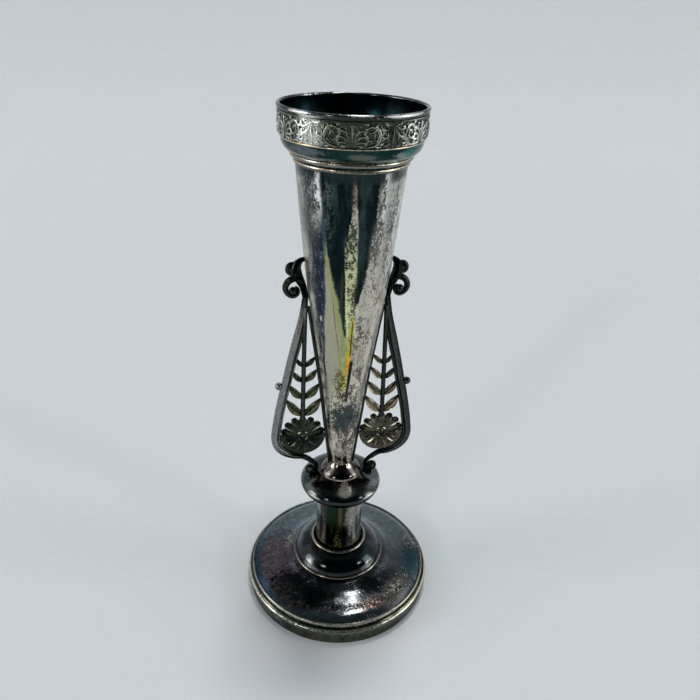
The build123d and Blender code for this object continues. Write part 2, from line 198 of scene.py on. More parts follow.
# %% [markdown]
# The floor is a sheet of pale paper that rises behind the vase in a wide curve, as in a
# studio, so that no edge shows. A flat line of three points is swept sideways and its
# bend is rounded by a bevel.

# %% Floor
floor_mesh = bpy.data.meshes.new("floor")
bm = bmesh.new()
FLOOR_HALF, BEND_AT, BEND, BACK_AT, BACK_TOP = 4, 2.2, 1.2, 2.8, 3.4
line = [bm.verts.new((-FLOOR_HALF, y, z)) for y, z in (
    (-FLOOR_HALF, 0), (BEND_AT, 0), (BACK_AT, BACK_TOP))]
edges = [bm.edges.new(line[:2]), bm.edges.new(line[1:])]
bmesh.ops.bevel(bm, geom=[line[1]], affect="VERTICES", offset=BEND, offset_type="OFFSET",
    segments=16, profile=0.5, material=-1)
sheet = bmesh.ops.extrude_edge_only(bm, edges=list(bm.edges))["geom"]
bmesh.ops.translate(bm, verts=[g for g in sheet if isinstance(g, bmesh.types.BMVert)],
    vec=(2 * FLOOR_HALF, 0, 0))
bmesh.ops.recalc_face_normals(bm, faces=bm.faces)
bm.to_mesh(floor_mesh)
bm.free()
floor_mesh.shade_smooth()
floor = bpy.data.objects.new("floor", floor_mesh)
bpy.context.scene.collection.objects.link(floor)
paper = bpy.data.materials.new("floor_paper")
paper.use_nodes = True
sheet_shader = paper.node_tree.nodes["Principled BSDF"]
put(sheet_shader.inputs["Base Color"], (0.80, 0.83, 0.85))
put(sheet_shader.inputs["Roughness"], 0.9)
floor.data.materials.append(paper)

# %% [markdown]
# ## Spun pieces
# A spun piece is an outline turned about the vase's axis, which is what the spin
# operator does. The outline is drawn as (radius, height) points. It is closed, so the
# piece has a wall and an inside, as the real sheet has. Smooth parts of an outline are
# made with Blender's own Bezier interpolation and round parts as an arc through three
# places, so no point between them has to be worked out by hand.


# %% Outlines
def smooth_line(points, steps=8):
    """A smooth line through (across, up) points, each bend shaped by its neighbours."""
    line = [Vector(p).to_3d() for p in points]
    made = [line[0]]
    for k in range(len(line) - 1):
        start, end = line[k], line[k + 1]
        before, after = line[max(k - 1, 0)], line[min(k + 2, len(line) - 1)]
        reach = (end - start).length
        pull_in = (end - before).normalized() * reach / 3
        pull_out = (after - start).normalized() * reach / 3
        bend = geometry.interpolate_bezier(start, start + pull_in, end - pull_out, end, steps + 1)
        made += bend[1:]
    return [(p.x, p.y) for p in made]


def arc(start, middle, end, steps=10):
    """The circular arc from start through middle to end."""
    a, b, c = (complex(*p) for p in (start, middle, end))
    w = (c - a) / (b - a)
    centre = a - (a - b) * (w - abs(w) ** 2) / (2j * w.imag)
    sweep = phase((b - centre) / (a - centre)) + phase((c - centre) / (b - centre))
    turns = [complex(cos(sweep * k / steps), sin(sweep * k / steps)) for k in range(steps + 1)]
    return [((centre + (a - centre) * t).real, (centre + (a - centre) * t).imag) for t in turns]


pieces = {}


def finish_piece(bm, name, nodes, sharp=38):
    """Turns a bmesh into a piece that rides on the vase and stands for its CAD nodes."""
    mesh = bpy.data.meshes.new(name)
    bm.to_mesh(mesh)
    bm.free()
    mesh.shade_smooth()
    mesh.set_sharp_from_angle(angle=radians(sharp))
    piece = bpy.data.objects.new(name, mesh)
    bpy.context.scene.collection.objects.link(piece)
    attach(piece, "root")
    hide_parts(*nodes)
    pieces[name] = piece
    print(name, len(mesh.polygons), "faces")
    return piece


def spin_outline(bm, outline, steps):
    """Spins a closed outline of (radius, height) points in mm about Z."""
    ring = [bm.verts.new((r * MM, 0, z * MM)) for r, z in outline]
    edges = [bm.edges.new((a, b)) for a, b in zip(ring, ring[1:] + ring[:1])]
    bmesh.ops.spin(bm, geom=ring + edges, cent=(0, 0, 0), axis=(0, 0, 1), angle=2 * pi,
                   steps=steps, use_merge=True)
    bmesh.ops.remove_doubles(bm, verts=bm.verts, dist=1e-7)
    bmesh.ops.recalc_face_normals(bm, faces=bm.faces)


def lathe(name, outline, cad_node, steps=160):
    """A spun piece; points of the outline that fall together are left out."""
    bm = bmesh.new()
    apart = [p for k, p in enumerate(outline) if (Vector(p) - Vector(outline[k - 1])).length > 1e-4]
    spin_outline(bm, apart, steps)
    return finish_piece(bm, name, [cad_node])


def wire(name, low, crest, high, cad_node):
    """A half-round wire: the arc from low through its crest to high, spun."""
    lathe(name, arc(low, crest, high), cad_node)


# %% [markdown]
# ## The foot
# The foot is a low skirt with a half-round bead near its top, a plate that falls gently
# outwards, and a domed boss in the middle. The plate is a smooth line through five
# places, and the boss a single arc. Each has the wall of the real sheet.

# %% Foot
FOOT_RADIUS, SKIRT_TOP, SHEET = 45.4, 9.2, 0.9
skirt_in = FOOT_RADIUS - 1.1
lathe("foot_skirt_skin", [
    (skirt_in - 1.6, 0), (FOOT_RADIUS - 0.1, 0), (FOOT_RADIUS, 0.25), (FOOT_RADIUS - 0.45, 3.4),
    (FOOT_RADIUS, 6.4), (FOOT_RADIUS, SKIRT_TOP - 0.3), (FOOT_RADIUS - 0.3, SKIRT_TOP),
    (skirt_in, SKIRT_TOP), (skirt_in, SHEET), (skirt_in - 1.6, SHEET)], "foot_skirt")
wire("foot_bead", (FOOT_RADIUS, 6.1), (FOOT_RADIUS + 0.9, 7.3), (FOOT_RADIUS, 8.5),
    "foot_bead_wire")

LEDGE_Z, BOSS_RADIUS, PLATE_FOOT = 16.6, 22.0, 6.1
plate_top = smooth_line([(24.4, LEDGE_Z), (27.8, 14.98), (33.8, 13.48), (39.7, 12.2),
    (42.7, 10.75)])
plate_edge = arc((42.75, 10.7), (43.7, 11.0), (44.25, 10.1), 6) + [(skirt_in, 9.6)]
plate_under = [(r, z - SHEET) for r, z in plate_top]
lathe("foot_plate_skin", [(20.2, LEDGE_Z - SHEET), (20.2, LEDGE_Z)] + plate_top + plate_edge + [
    (skirt_in, PLATE_FOOT), (skirt_in - SHEET, PLATE_FOOT), (skirt_in - SHEET, 8.8)]
    + plate_under[:-1][::-1], "foot_plate")

CROWN_Z, WELL_Z, WELL_RADIUS, ROD_HOLE = 25.8, 23.9, 12.3, 2.3
boss_skin = arc((BOSS_RADIUS, LEDGE_Z), (19.35, 22.6), (13.9, CROWN_Z), 24)
boss_under = arc((13.45, CROWN_Z - SHEET), (18.71, 21.96), (BOSS_RADIUS - SHEET, LEDGE_Z), 24)
lathe("foot_boss_skin", boss_skin + [
    (WELL_RADIUS, CROWN_Z), (WELL_RADIUS, WELL_Z), (ROD_HOLE, WELL_Z), (ROD_HOLE, WELL_Z - SHEET),
    (WELL_RADIUS + 0.45, WELL_Z - SHEET)] + boss_under, "foot_boss")
wire("boss_line", (21.9, LEDGE_Z), (BOSS_RADIUS + 0.8, LEDGE_Z + 0.75), (21.8, LEDGE_Z + 1.5),
    "boss_wire")
wire("stem_foot_line", (WELL_RADIUS, CROWN_Z), (13.1, CROWN_Z + 0.8), (13.9, CROWN_Z), "stem_ring")

# %% [markdown]
# ## Stem, knop and collar
# The stem is a plain tube that stands in a well in the boss. The knop is two half shells
# soldered at the widest line, and a quarter of an ellipse gives each its outline. A small
# bell-shaped collar covers the joint between the knop and the trumpet.

# %% Stem, knop and collar
STEM_RADIUS, STEM_TOP, SEAM_Z, KNOP_RADIUS = 11.2, 55.5, 62.4, 19.3
stem_line = arc((STEM_RADIUS + 1.0, WELL_Z), (STEM_RADIUS + 0.25, WELL_Z + 5.5),
                (STEM_RADIUS, WELL_Z + 11), 12)
stem_in = STEM_RADIUS - SHEET
lathe("stem_skin", stem_line + [(STEM_RADIUS, STEM_TOP), (stem_in, 55.3), (stem_in, WELL_Z)],
    "stem_tube")
wire("knop_joint_line", (STEM_RADIUS, 54.6), (STEM_RADIUS + 0.8, 55.2), (STEM_RADIUS, 55.8),
    "knop_ring")


def half_knop(name, rise, hole, cad_node):
    """Half the knop, from its seam to a hole at its pole; rise is negative for the lower half."""
    wall = SHEET * rise / abs(rise)

    def quarter_ellipse(radius, rise, steps=24):
        turns = [0.5 * pi * k / steps for k in range(steps + 1)]
        line = [(radius * cos(t), SEAM_Z + rise * sin(t)) for t in turns]
        return [p for p in line if p[0] > hole + 0.5]

    inside = quarter_ellipse(KNOP_RADIUS - SHEET, rise - wall)
    pole = SEAM_Z + rise * sqrt(1 - (hole / KNOP_RADIUS) ** 2)
    lathe(name, quarter_ellipse(KNOP_RADIUS, rise) + [(hole, pole), (hole, pole - wall)]
          + inside[::-1], cad_node)


COLLAR_HOLE = 3.7
half_knop("knop_lower_skin", -8.8, ROD_HOLE, "knop_lower_shell")
half_knop("knop_upper_skin", 6.6, COLLAR_HOLE, "knop_upper_shell")
collar = smooth_line([(5.0, 74.11), (6.32, 72.31), (8.29, 70.69), (9.42, 69.31), (9.7, 68.11)])
lathe("collar_skin", collar + [(COLLAR_HOLE, 68.9), (COLLAR_HOLE, 74.11)], "bell_collar")

# %% [markdown]
# ## The trumpet and its mouth
# The trumpet widens slowly and a little unevenly, so its outline goes through the
# measured radii. A thin wire and a rounded ring sit on its short straight neck. Above them
# come a cup-shaped moulding that steps outwards, a ring under the band, and the lip.

# %% Trumpet and mouth
NECK_Z, NECK_TOP_Z, NECK_RADIUS, THROAT, TRUMPET_WALL = 214.1, 219.3, 21.4, 20.6, 0.8
TRUMPET_LINE = [(5.0, 74.11), (8.12, 100.71), (10.41, 120.31), (13.12, 139.91), (15.99, 159.51),
                (18.37, 180.51), (NECK_RADIUS, NECK_Z)]
wall_line = smooth_line(TRUMPET_LINE, 12) + [(NECK_RADIUS, NECK_TOP_Z)]
wall_inside = [(r - TRUMPET_WALL, z) for r, z in wall_line]
lathe("trumpet_skin", wall_line + wall_inside[::-1], "trumpet_body", steps=192)
wire("neck_line", (NECK_RADIUS, 215.1), (22.3, 216.0), (NECK_RADIUS, 216.9), "neck_wire")
lathe("cove_foot_line", [(22.7, NECK_TOP_Z), (NECK_RADIUS, NECK_TOP_Z), (NECK_RADIUS, 217.5)]
      + arc((22.7, 217.5), (23.6, 218.4), (22.7, NECK_TOP_Z)), "cove_ring")

COVE_TOP_Z, BAND_LOW_Z, BAND_TOP_Z, RIM_Z, BAND_RADIUS = 224.4, 225.1, 234.9, 236.1, 27.9
cove_skin = arc((23.2, NECK_TOP_Z), (25.75, 221.05), (26.7, COVE_TOP_Z), 20)
cove_back = arc((25.8, COVE_TOP_Z), (25.1, 221.7), (22.3, 220.2), 16)
lathe("cove_skin", cove_skin + cove_back + [(THROAT, 220.2), (THROAT, NECK_TOP_Z)], "cove_moulding")
lathe("band_foot_line", [(25.8, COVE_TOP_Z)] + arc(
    (26.65, COVE_TOP_Z), (27.1, 224.75), (26.65, BAND_LOW_Z), 8) + [(25.8, BAND_LOW_Z)],
    "band_edge_ring")
lathe("lip_skin", arc((26.7, BAND_TOP_Z), (27.45, RIM_Z), (28.1, BAND_TOP_Z), 16), "lip_wire")
print("height in mm:", RIM_Z)

# %% [markdown]
# ## The chased band
# Round the mouth runs a band of traditional leaf scrolls: a fan of petals between two
# curling stems, with small leaves along them and a hanging fan where two repeats meet. It
# could be a bump texture, but real relief keeps its lights and shadows from any side.
# Each stroke is a curve swept with a rounded section that swells and tapers. The strokes
# are drawn flat, made one mesh, and then wrapped round the band by turning the distance
# along the strip into an angle.


# %% Sections and sweeps
def section(name, points):
    """A closed flat outline that strokes are swept with: x across, y out of the plane."""
    curve = bpy.data.curves.new(name, "CURVE")
    spline = curve.splines.new("POLY")
    spline.points.add(len(points) - 1)
    for k, (x, y) in enumerate(points):
        spline.points[k].co = (x, y, 0, 1)
    spline.use_cyclic_u = True
    made = bpy.data.objects.new(name, curve)
    bpy.context.scene.collection.objects.link(made)
    return made


def swept(strokes, shape):
    """One mesh of flat strokes, each (line in mm, half widths from start to end), swept."""
    curve = bpy.data.curves.new("strokes", "CURVE")
    curve.dimensions, curve.twist_mode, curve.use_fill_caps = "3D", "Z_UP", True
    curve.bevel_mode, curve.bevel_object = "OBJECT", shape
    for line, widths in strokes:
        spline = curve.splines.new("POLY")
        spline.points.add(len(line) - 1)
        for k, (x, y) in enumerate(line):
            at = k / (len(line) - 1) * (len(widths) - 1)
            low = min(int(at), len(widths) - 2)
            spline.points[k].co = (x, y, 0, 1)
            spline.points[k].radius = widths[low] + (widths[low + 1] - widths[low]) * (at - low)
    holder = bpy.data.objects.new("strokes", curve)
    bpy.context.scene.collection.objects.link(holder)
    bpy.context.view_layer.update()
    ready = holder.evaluated_get(bpy.context.evaluated_depsgraph_get())
    mesh = bpy.data.meshes.new_from_object(ready)
    bpy.data.objects.remove(holder)
    bpy.data.curves.remove(curve)
    return mesh


def curl(centre, radius, start, turns, steps=22, shrink=0.16):
    """A spiral that winds inwards from a start angle in degrees."""
    line = []
    for k in range(steps + 1):
        share = k / steps
        angle = radians(start) + 2 * pi * turns * share
        reach = radius * (1 - (1 - shrink) * share)
        line.append((centre[0] + reach * cos(angle), centre[1] + reach * sin(angle)))
    return line


# %% Fans and scrolls, drawn flat: x along the band, y up from its middle
REPEATS = 6
GROUND_RADIUS, RELIEF, HALF_HEIGHT = 27.4, 0.7, 4.1
REPEAT_LENGTH = 2 * pi * BAND_RADIUS / REPEATS
PETAL_CURVE = [(0.14, 0.0), (0.45, 0.03), (0.76, 0.1), (0.97, 0.26), (1.0, 0.42), (0.86, 0.46)]


def palmette(base, petals, spread, longest, shortest, up):
    """A fan of petals whose tips curl outwards; up is 1 or -1."""
    strokes = []
    for k in range(petals):
        side = k - (petals - 1) / 2
        length = longest - (longest - shortest) * (2 * abs(side) / (petals - 1)) ** 1.4
        points = []
        for reach, swing in PETAL_CURVE[:6 if side else 4]:
            turn = radians(90 - spread * side) - swing * ((side > 0) - (side < 0))
            out = length * reach
            points.append((base[0] + out * cos(turn), base[1] + up * out * sin(turn)))
        strokes.append((smooth_line(points, 3), [0.16, 0.34, 0.52, 0.46, 0.38]))
    return strokes


SCROLL_STEM = [(0.7, -3.8), (4.0, -3.95), (7.9, -3.1), (9.6, -0.6), (8.9, 1.9), (6.8, 3.0),
    (4.8, 2.0), (4.5, -0.2), (5.9, -1.5), (7.6, -0.7), (7.4, 0.9), (6.2, 1.0), (6.0, 0.2)]
SCROLL_LEAVES = [((9.5, -1.5), (10.6, -1.2), (11.6, -0.2)), ((9.6, -0.3), (10.5, 0.5), (11.0, 1.7)),
    ((9.2, 1.2), (9.9, 2.2), (9.9, 3.5)), ((8.1, 2.6), (8.5, 3.5), (7.9, 4.0)),
    ((8.9, -2.6), (10.1, -2.9), (11.1, -2.2)), ((7.6, -3.4), (8.9, -4.0), (10.2, -3.8)),
    ((4.7, 0.8), (3.9, 1.5), (3.7, 2.6)), ((5.5, 2.9), (4.6, 3.8), (3.3, 3.8)),
    ((5.5, -1.6), (4.7, -2.2), (5.2, -3.1)), ((7.7, -1.2), (8.6, -1.5), (8.7, -0.6)),
    ((7.2, 1.2), (7.9, 1.9), (7.2, 2.3)), ((12.6, 0.9), (12.2, -0.6), (12.9, -1.9))]
STEM_WIDTHS = [0.3, 0.42, 0.58, 0.66, 0.62, 0.56, 0.5, 0.46, 0.42, 0.38, 0.34, 0.4, 0.44]
strokes = palmette((0, -3.7), 9, 19, 7.4, 3.6, 1)
strokes += palmette((REPEAT_LENGTH / 2, 3.8), 7, 24, 6.6, 3.2, -1)
for side in (-1, 1):
    strokes.append((smooth_line([(side * x, y) for x, y in SCROLL_STEM], 5), STEM_WIDTHS))
    for leaf in SCROLL_LEAVES:
        leaf_line = smooth_line([(side * x, y) for x, y in leaf], 4)
        strokes.append((leaf_line, [0.2, 0.46, 0.5, 0.3, 0.14]))
    for place, size in (((side * 12.4, 3.2), 0.95), ((side * 12.3, -3.3), 0.85),
            ((side * 2.4, -2.0), 0.5)):
        strokes.append((curl(place, size, 90 - 90 * side, 1.2, 12), [0.22, 0.32, 0.3]))


ROWS, COLUMNS, CLEAR, FILLED = 11, 38, 0.82, 0.9
BUD = (-0.5, -0.1, 0.2, 0.5)


def fill_gaps(strokes, clear):
    """Adds a small bud wherever the ground is bare, as a chaser does."""
    shifts = (-REPEAT_LENGTH, 0, REPEAT_LENGTH)
    taken = [(x + shift, y) for line, _ in strokes for x, y in line for shift in shifts]
    buds = []
    for row in range(ROWS):
        for column in range(COLUMNS):
            x = REPEAT_LENGTH * ((column + 0.5 * (row % 2)) / COLUMNS - 0.5)
            y = HALF_HEIGHT * (row / (ROWS // 2) - 1) * FILLED
            near = min(taken, key=lambda p: (p[0] - x) ** 2 + (p[1] - y) ** 2)
            if (near[0] - x) ** 2 + (near[1] - y) ** 2 > clear ** 2:
                lean = phase(complex(near[0] - x, near[1] - y)) + 0.5 * pi
                bud = [(x + reach * cos(lean), y + reach * sin(lean)) for reach in BUD]
                buds.append((bud, [0.12, 0.34, 0.36, 0.14]))
                taken += bud
    return buds


strokes += fill_gaps(strokes, CLEAR)
print("strokes in one repeat:", len(strokes))

# %% Wrap the foliage round the band
stroke_section = section("stroke_section", [(-1, -0.4), (-0.86, 0.45), (-0.34, 0.95), (0.34, 0.95),
    (0.86, 0.45), (1, -0.4)])
MIDDLE_Z, FOOT_CURVE_Z, FOOT_CURVE = 229.45, 227.0, 0.2
STROKE_WEIGHT, PATTERN_TURN, SUNK = 1.2, radians(9), -0.15


def ground_radius(height):
    """The band's ground: straight above, and drawn in at its foot."""
    return GROUND_RADIUS - FOOT_CURVE * max(0.0, FOOT_CURVE_Z - height) ** 2


bm = bmesh.new()
heavier = [(line, [STROKE_WEIGHT * width for width in widths]) for line, widths in strokes]
mesh = swept(heavier, stroke_section)
bm.from_mesh(mesh)
bpy.data.meshes.remove(mesh)
tallest = max(v.co.z for v in bm.verts)
for v in bm.verts:
    angle = v.co.x / BAND_RADIUS - pi / 2 - PATTERN_TURN
    height = MIDDLE_Z + max(-HALF_HEIGHT, min(HALF_HEIGHT, v.co.y))
    rise = RELIEF * v.co.z / tallest if v.co.z > 0 else SUNK
    reach = (ground_radius(height) + rise) * MM
    v.co = (reach * cos(angle), reach * sin(angle), height * MM)
one_repeat = list(bm.verts) + list(bm.edges) + list(bm.faces)
for k in range(1, REPEATS):
    copy = bmesh.ops.duplicate(bm, geom=one_repeat)["geom"]
    verts = [g for g in copy if isinstance(g, bmesh.types.BMVert)]
    turned = Matrix.Rotation(2 * pi * k / REPEATS, 3, "Z")
    bmesh.ops.rotate(bm, verts=verts, cent=(0, 0, 0), matrix=turned)
foot_curve = [(ground_radius(z), z) for z in (BAND_LOW_Z, 225.5, 226.0, 226.5, FOOT_CURVE_Z)]
ring_outline = [(26.0, BAND_LOW_Z)] + foot_curve + [(GROUND_RADIUS, 233.55), (27.85, 233.65),
    (28.0, 233.85), (27.85, 234.05), (GROUND_RADIUS, 234.15), (GROUND_RADIUS, BAND_TOP_Z),
    (27.0, BAND_TOP_Z), (27.0, 227.2), (26.3, 226.3)]
spin_outline(bm, ring_outline, 192)
finish_piece(bm, "chased_band", ["ornament_band"], 50)
bpy.data.objects.remove(stroke_section)

# %% [markdown]
# ## The handles
# Each handle is a flat casting in the plane that goes through the vase's axis: a moulded
# bar that bends round at the bottom and curls up on the knop, a leaf and a curl at the
# top, and between bar and wall a stem with leaves over a rosette. A curve swept with a
# section is the natural way, because the section holds the ridges and the groove and the
# points' radius gives the taper. The right handle is drawn, and the left is its mirror.

# %% Sections of the castings
def both_faces(half_points):
    """Repeats the upper half of a section on the lower side."""
    return half_points + [(x, -y) for x, y in half_points[::-1] if y > 0]


BAR_HALF = [(-1, 0), (-0.97, 0.2), (-0.62, 0.42), (-0.1, 0.62), (0.12, 0.64), (0.28, 0.52),
    (0.4, 0.28), (0.5, 0.3), (0.62, 0.5), (0.78, 0.54), (0.94, 0.34), (1, 0)]
VEINED_HALF = [(-1, 0), (-0.92, 0.34), (-0.74, 0.44), (-0.52, 0.26), (-0.16, 0.2), (0, 0.42),
    (0.16, 0.2), (0.52, 0.26), (0.74, 0.44), (0.92, 0.34), (1, 0)]
PETAL_HALF = [(-1, 0), (-0.94, 0.52), (-0.74, 0.74), (-0.5, 0.52), (-0.16, 0.26), (0.16, 0.26),
    (0.5, 0.52), (0.74, 0.74), (0.94, 0.52), (1, 0)]
bar_section = section("bar_section", both_faces(BAR_HALF))
veined_section = section("veined_section", both_faces(VEINED_HALF))
petal_section = section("petal_section", both_faces(PETAL_HALF))
ROUND = [(cos(2 * pi * k / 12), sin(2 * pi * k / 12)) for k in range(12)]
round_section = section("round_section", ROUND)
print("sections ready")


# %% Add strokes of the handle's plane to a bmesh
def add_stroke(bm, line, widths, shape, thickness=1.0):
    """Adds one swept stroke in the plane y = 0; thickness scales it out of the plane."""
    mesh = swept([(line, widths)], shape)
    before = set(bm.verts)
    bm.from_mesh(mesh)
    bpy.data.meshes.remove(mesh)
    for v in bm.verts:
        if v not in before:
            x, y, z = v.co
            v.co = (x * MM, -z * thickness * MM, y * MM)


def add_ball(bm, place, radius):
    """Adds a ball in the handle's plane."""
    made = bmesh.ops.create_uvsphere(bm, u_segments=24, v_segments=16, radius=radius * MM)["verts"]
    bmesh.ops.translate(bm, verts=made, vec=(place[0] * MM, 0, place[1] * MM))


def handle_piece(bm, name, cad_node):
    """Makes the right piece and its mirror on the left."""
    bmesh.ops.remove_doubles(bm, verts=bm.verts, dist=1e-8)
    bmesh.ops.recalc_face_normals(bm, faces=bm.faces)
    left = bm.copy()
    bmesh.ops.scale(left, verts=left.verts, vec=(-1, 1, 1))
    bmesh.ops.reverse_faces(left, faces=left.faces)
    finish_piece(bm, name + "_right", [cad_node + "_right"], 45)
    finish_piece(left, name + "_left", [cad_node + "_left"], 45)


# %% Outer bar, wall bar and stem, scroll, top leaf and curl
BALL, CORNER, TOP = (14.86, 69.4), (30.86, 88.1), (17.31, 159.5)
WALL_BAR = [(5.55, 71.11), (5.6, 74.11), (8.67, 100.71), (10.96, 120.31), (13.67, 139.91),
    (15.89, 155.11)]
STEM_LOW, STEM_HIGH = (18.43, 98.3), (17.39, 155.1)
BAR_UPPER = [TOP, (18.53, 150.22), (20.82, 139.16), (23.18, 129.23), (25.24, 119.81),
    (27.15, 111.38), (29.06, 101.96), (30.45, 93.03), CORNER]
BAR_LOWER = [(29.58, 83.24), (26.46, 79.88), (22.46, 77.91), (18.46, 77.07), (15.18, 75.02)]
SCROLL = [(12.55, 72.71), (11.74, 70.18), (12.33, 67.87), (14.42, 67.1)]
bm = bmesh.new()
BAR_WIDTHS = [1.32, 1.7] + [2.2] * 7 + [2.15, 2.0, 1.72, 1.45, 1.3, 1.1, 0.9, 0.75, 0.66]
add_stroke(bm, smooth_line(BAR_UPPER + BAR_LOWER + SCROLL, 8), BAR_WIDTHS, bar_section)
add_stroke(bm, smooth_line(WALL_BAR, 5), [0.85, 0.85], round_section, 1.1)
add_stroke(bm, smooth_line([STEM_LOW, (18.0, 124.0), STEM_HIGH], 8), [1.1, 1.05, 1.05],
    round_section, 1.1)
add_ball(bm, BALL, 1.55)
add_stroke(bm, curl(BALL, 2.25, 200, 1.15, 30, 0.72), [0.5, 0.62, 0.55, 0.4], round_section, 1.6)
top_leaf = smooth_line([(17.5, 176.5), (19.3, 175.7), (20.8, 173.7), (21.1, 170.9), (19.9, 167.9),
    (18.3, 164.2), TOP], 6)
add_stroke(bm, top_leaf, [0.7, 1.15, 1.9, 2.35, 2.0, 1.5, 1.32], veined_section, 1.7)
add_stroke(bm, smooth_line([(21.6, 174.4), (23.3, 174.1), (24.4, 172.8), (24.3, 171.0),
    (23.1, 170.1), (22.1, 170.8)], 6), [0.7, 1.0, 1.1, 1.05, 0.9, 0.7], bar_section, 1.6)
add_ball(bm, (23.0, 171.9), 1.35)
add_stroke(bm, smooth_line([(18.6, 166.0), (20.9, 167.9), (23.5, 167.4), (25.2, 165.4),
    (25.4, 162.9), (24.1, 160.9), (22.2, 160.2), (20.6, 161.2), (20.4, 163.1), (21.6, 164.3)], 6),
    [1.1, 1.3, 1.4, 1.35, 1.25, 1.15, 1.05, 0.9, 0.75, 0.6], bar_section, 1.5)
add_ball(bm, (22.4, 162.5), 1.75)
handle_piece(bm, "handle_bar", "handle_frame")

# %% [markdown]
# The leaves stand in four pairs on the stem and grow smaller upwards. Each is one stroke
# that hangs a little, swept with a section that has a vein and raised edges. That is
# quicker than shaping a flat sheet, and the vein stays in the middle by itself.

# %% Leaves
LEAVES = [
    ((18.35, 100.4), (25.8, 109.2), (10.3, 109.3)),
    ((18.25, 109.6), (24.5, 116.9), (11.1, 117.1)),
    ((18.15, 118.4), (23.1, 124.0), (12.1, 124.6)),
    ((18.05, 126.2), (21.4, 130.6), (12.9, 131.0)),
]
LEAF_SHAPE = (0.3, 0.66, 0.9, 1.0, 0.98, 0.82, 0.5, 0.14)
SWAY, SAG, LEAF_WIDTH = 0.05, 0.07, 0.18
bm = bmesh.new()
for root, outer_tip, inner_tip in LEAVES:
    for tip in (outer_tip, inner_tip):
        length = (Vector(tip) - Vector(root)).length
        middle = ((root[0] + tip[0]) / 2 + SWAY * (tip[0] - root[0]),
                  (root[1] + tip[1]) / 2 - length * SAG)
        half = length * LEAF_WIDTH
        add_stroke(bm, smooth_line([root, middle, tip], 8), [half * s for s in LEAF_SHAPE],
                   veined_section, 1.15)
handle_piece(bm, "handle_leaves", "handle_leaf_spray")

# %% [markdown]
# The rosette is a flower of fourteen petals, cast in one with a thin disc. The petals are
# strokes as well. The disc is a circle with a thickness, and a larger half disc with a
# raised rim closes the flower below. In its middle sit a ring and a bright bead.

# %% Rosette: petals on a disc whose lower half is a full round
ROSETTE, ROSETTE_RADIUS, PETALS, DISC = (18.43, 89.7), 10.4, 14, 1.5
bm = bmesh.new()
bmesh.ops.create_circle(bm, cap_ends=True, radius=(ROSETTE_RADIUS - 2.3) * MM, segments=64)
rim = bmesh.ops.create_circle(bm, cap_ends=True, radius=ROSETTE_RADIUS * MM, segments=96)["verts"]
rim_faces = [f for f in bm.faces if all(v in rim for v in f.verts)]
rim_edges = list({e for f in rim_faces for e in f.edges})
bmesh.ops.bisect_plane(bm, geom=rim + rim_edges + rim_faces, plane_co=(0, 0, 0), plane_no=(0, 1, 0),
    clear_outer=True)
walls = bmesh.ops.extrude_face_region(bm, geom=list(bm.faces))["geom"]
bmesh.ops.translate(bm, verts=[g for g in walls if isinstance(g, bmesh.types.BMVert)],
    vec=(0, 0, DISC * MM))
bmesh.ops.translate(bm, verts=bm.verts, vec=(0, 0, -DISC / 2 * MM))
bmesh.ops.rotate(bm, verts=bm.verts, cent=(0, 0, 0), matrix=Matrix.Rotation(pi / 2, 3, "X"))
bmesh.ops.translate(bm, verts=bm.verts, vec=(ROSETTE[0] * MM, 0, ROSETTE[1] * MM))
LONG_PETAL, SHORT_PETAL = (2.0, 3.6, 5.6, 7.4, 8.8, 9.8, 10.35), (2.0, 3.4, 5.0, 6.6, 7.8, 8.7, 9.2)
for k in range(PETALS):
    lean = 2 * pi * (k + 0.5) / PETALS
    reaches = LONG_PETAL if sin(lean) > -0.2 else SHORT_PETAL
    petal = [(ROSETTE[0] + reach * cos(lean), ROSETTE[1] + reach * sin(lean)) for reach in reaches]
    add_stroke(bm, petal, [0.45, 0.85, 1.3, 1.65, 1.6, 1.15, 0.3], petal_section, 1.05)
rim_turns = [pi + pi * k / 24 for k in range(25)]
rim_line = [(ROSETTE[0] + 9.95 * cos(t), ROSETTE[1] + 9.95 * sin(t)) for t in rim_turns]
add_stroke(bm, rim_line, [0.4, 0.4], round_section, 2.0)
handle_piece(bm, "handle_flower", "handle_rosette")

bm = bmesh.new()
add_stroke(bm, curl(ROSETTE, 2.35, 0, 1.0, 28, 1.0), [0.4, 0.4], round_section, 3.0)
add_ball(bm, ROSETTE, 1.35)
handle_piece(bm, "flower_eye", "handle_rivet")
bm = bmesh.new()
add_ball(bm, (29.05, 116.67), 1.75)
handle_piece(bm, "handle_ball", "handle_bead")
for holder in (bar_section, veined_section, petal_section, round_section):
    bpy.data.objects.remove(holder)

# %% [markdown]
# ## Tarnished silver
# Old silver plate keeps its polish under a thin dark film. The film has colours of its
# own, from straw through brown and purple to blue-green, and lies in clouds with fine
# pits, while rubbed places are frosted and pale. A mirror-like metal with a base colour
# that changes from place to place does this: pale where it is rubbed, nearly black with
# a tint where the film is thick. The places follow the angle round the vase and the
# height, both worked out from object coordinates, and noise of three sizes breaks their
# edges and speckles the whole. Some pale patches are painted highlights and painted
# reflections, laid where the real metal shines, and nearer the axis than an inner edge
# all is painted shade.


# %% Coordinates and noise
def start_material(name):
    """Starts a new metal and takes its tree in hand; gives it, its shader and its coordinates."""
    global tree
    made = bpy.data.materials.new(name)
    made.use_nodes = True
    tree = made.node_tree
    shader = tree.nodes["Principled BSDF"]
    put(shader.inputs["Metallic"], 1.0)
    return made, shader, node("ShaderNodeTexCoord", output="Object")


def noise(place, scale, detail=4.0, roughness=0.6, stretch=(1, 1, 1), offset=(0, 0, 0)):
    """Noise on coordinates; scale is in waves per metre, and stretch changes it by axis."""
    spot = node("ShaderNodeMapping", {"Vector": place, "Scale": stretch, "Location": offset})
    return node("ShaderNodeTexNoise", {
        "Vector": spot, "Scale": scale, "Detail": detail, "Roughness": roughness})


def centred(value, gain):
    """Noise with its middle taken away, times a gain."""
    return (value - 0.5) * gain


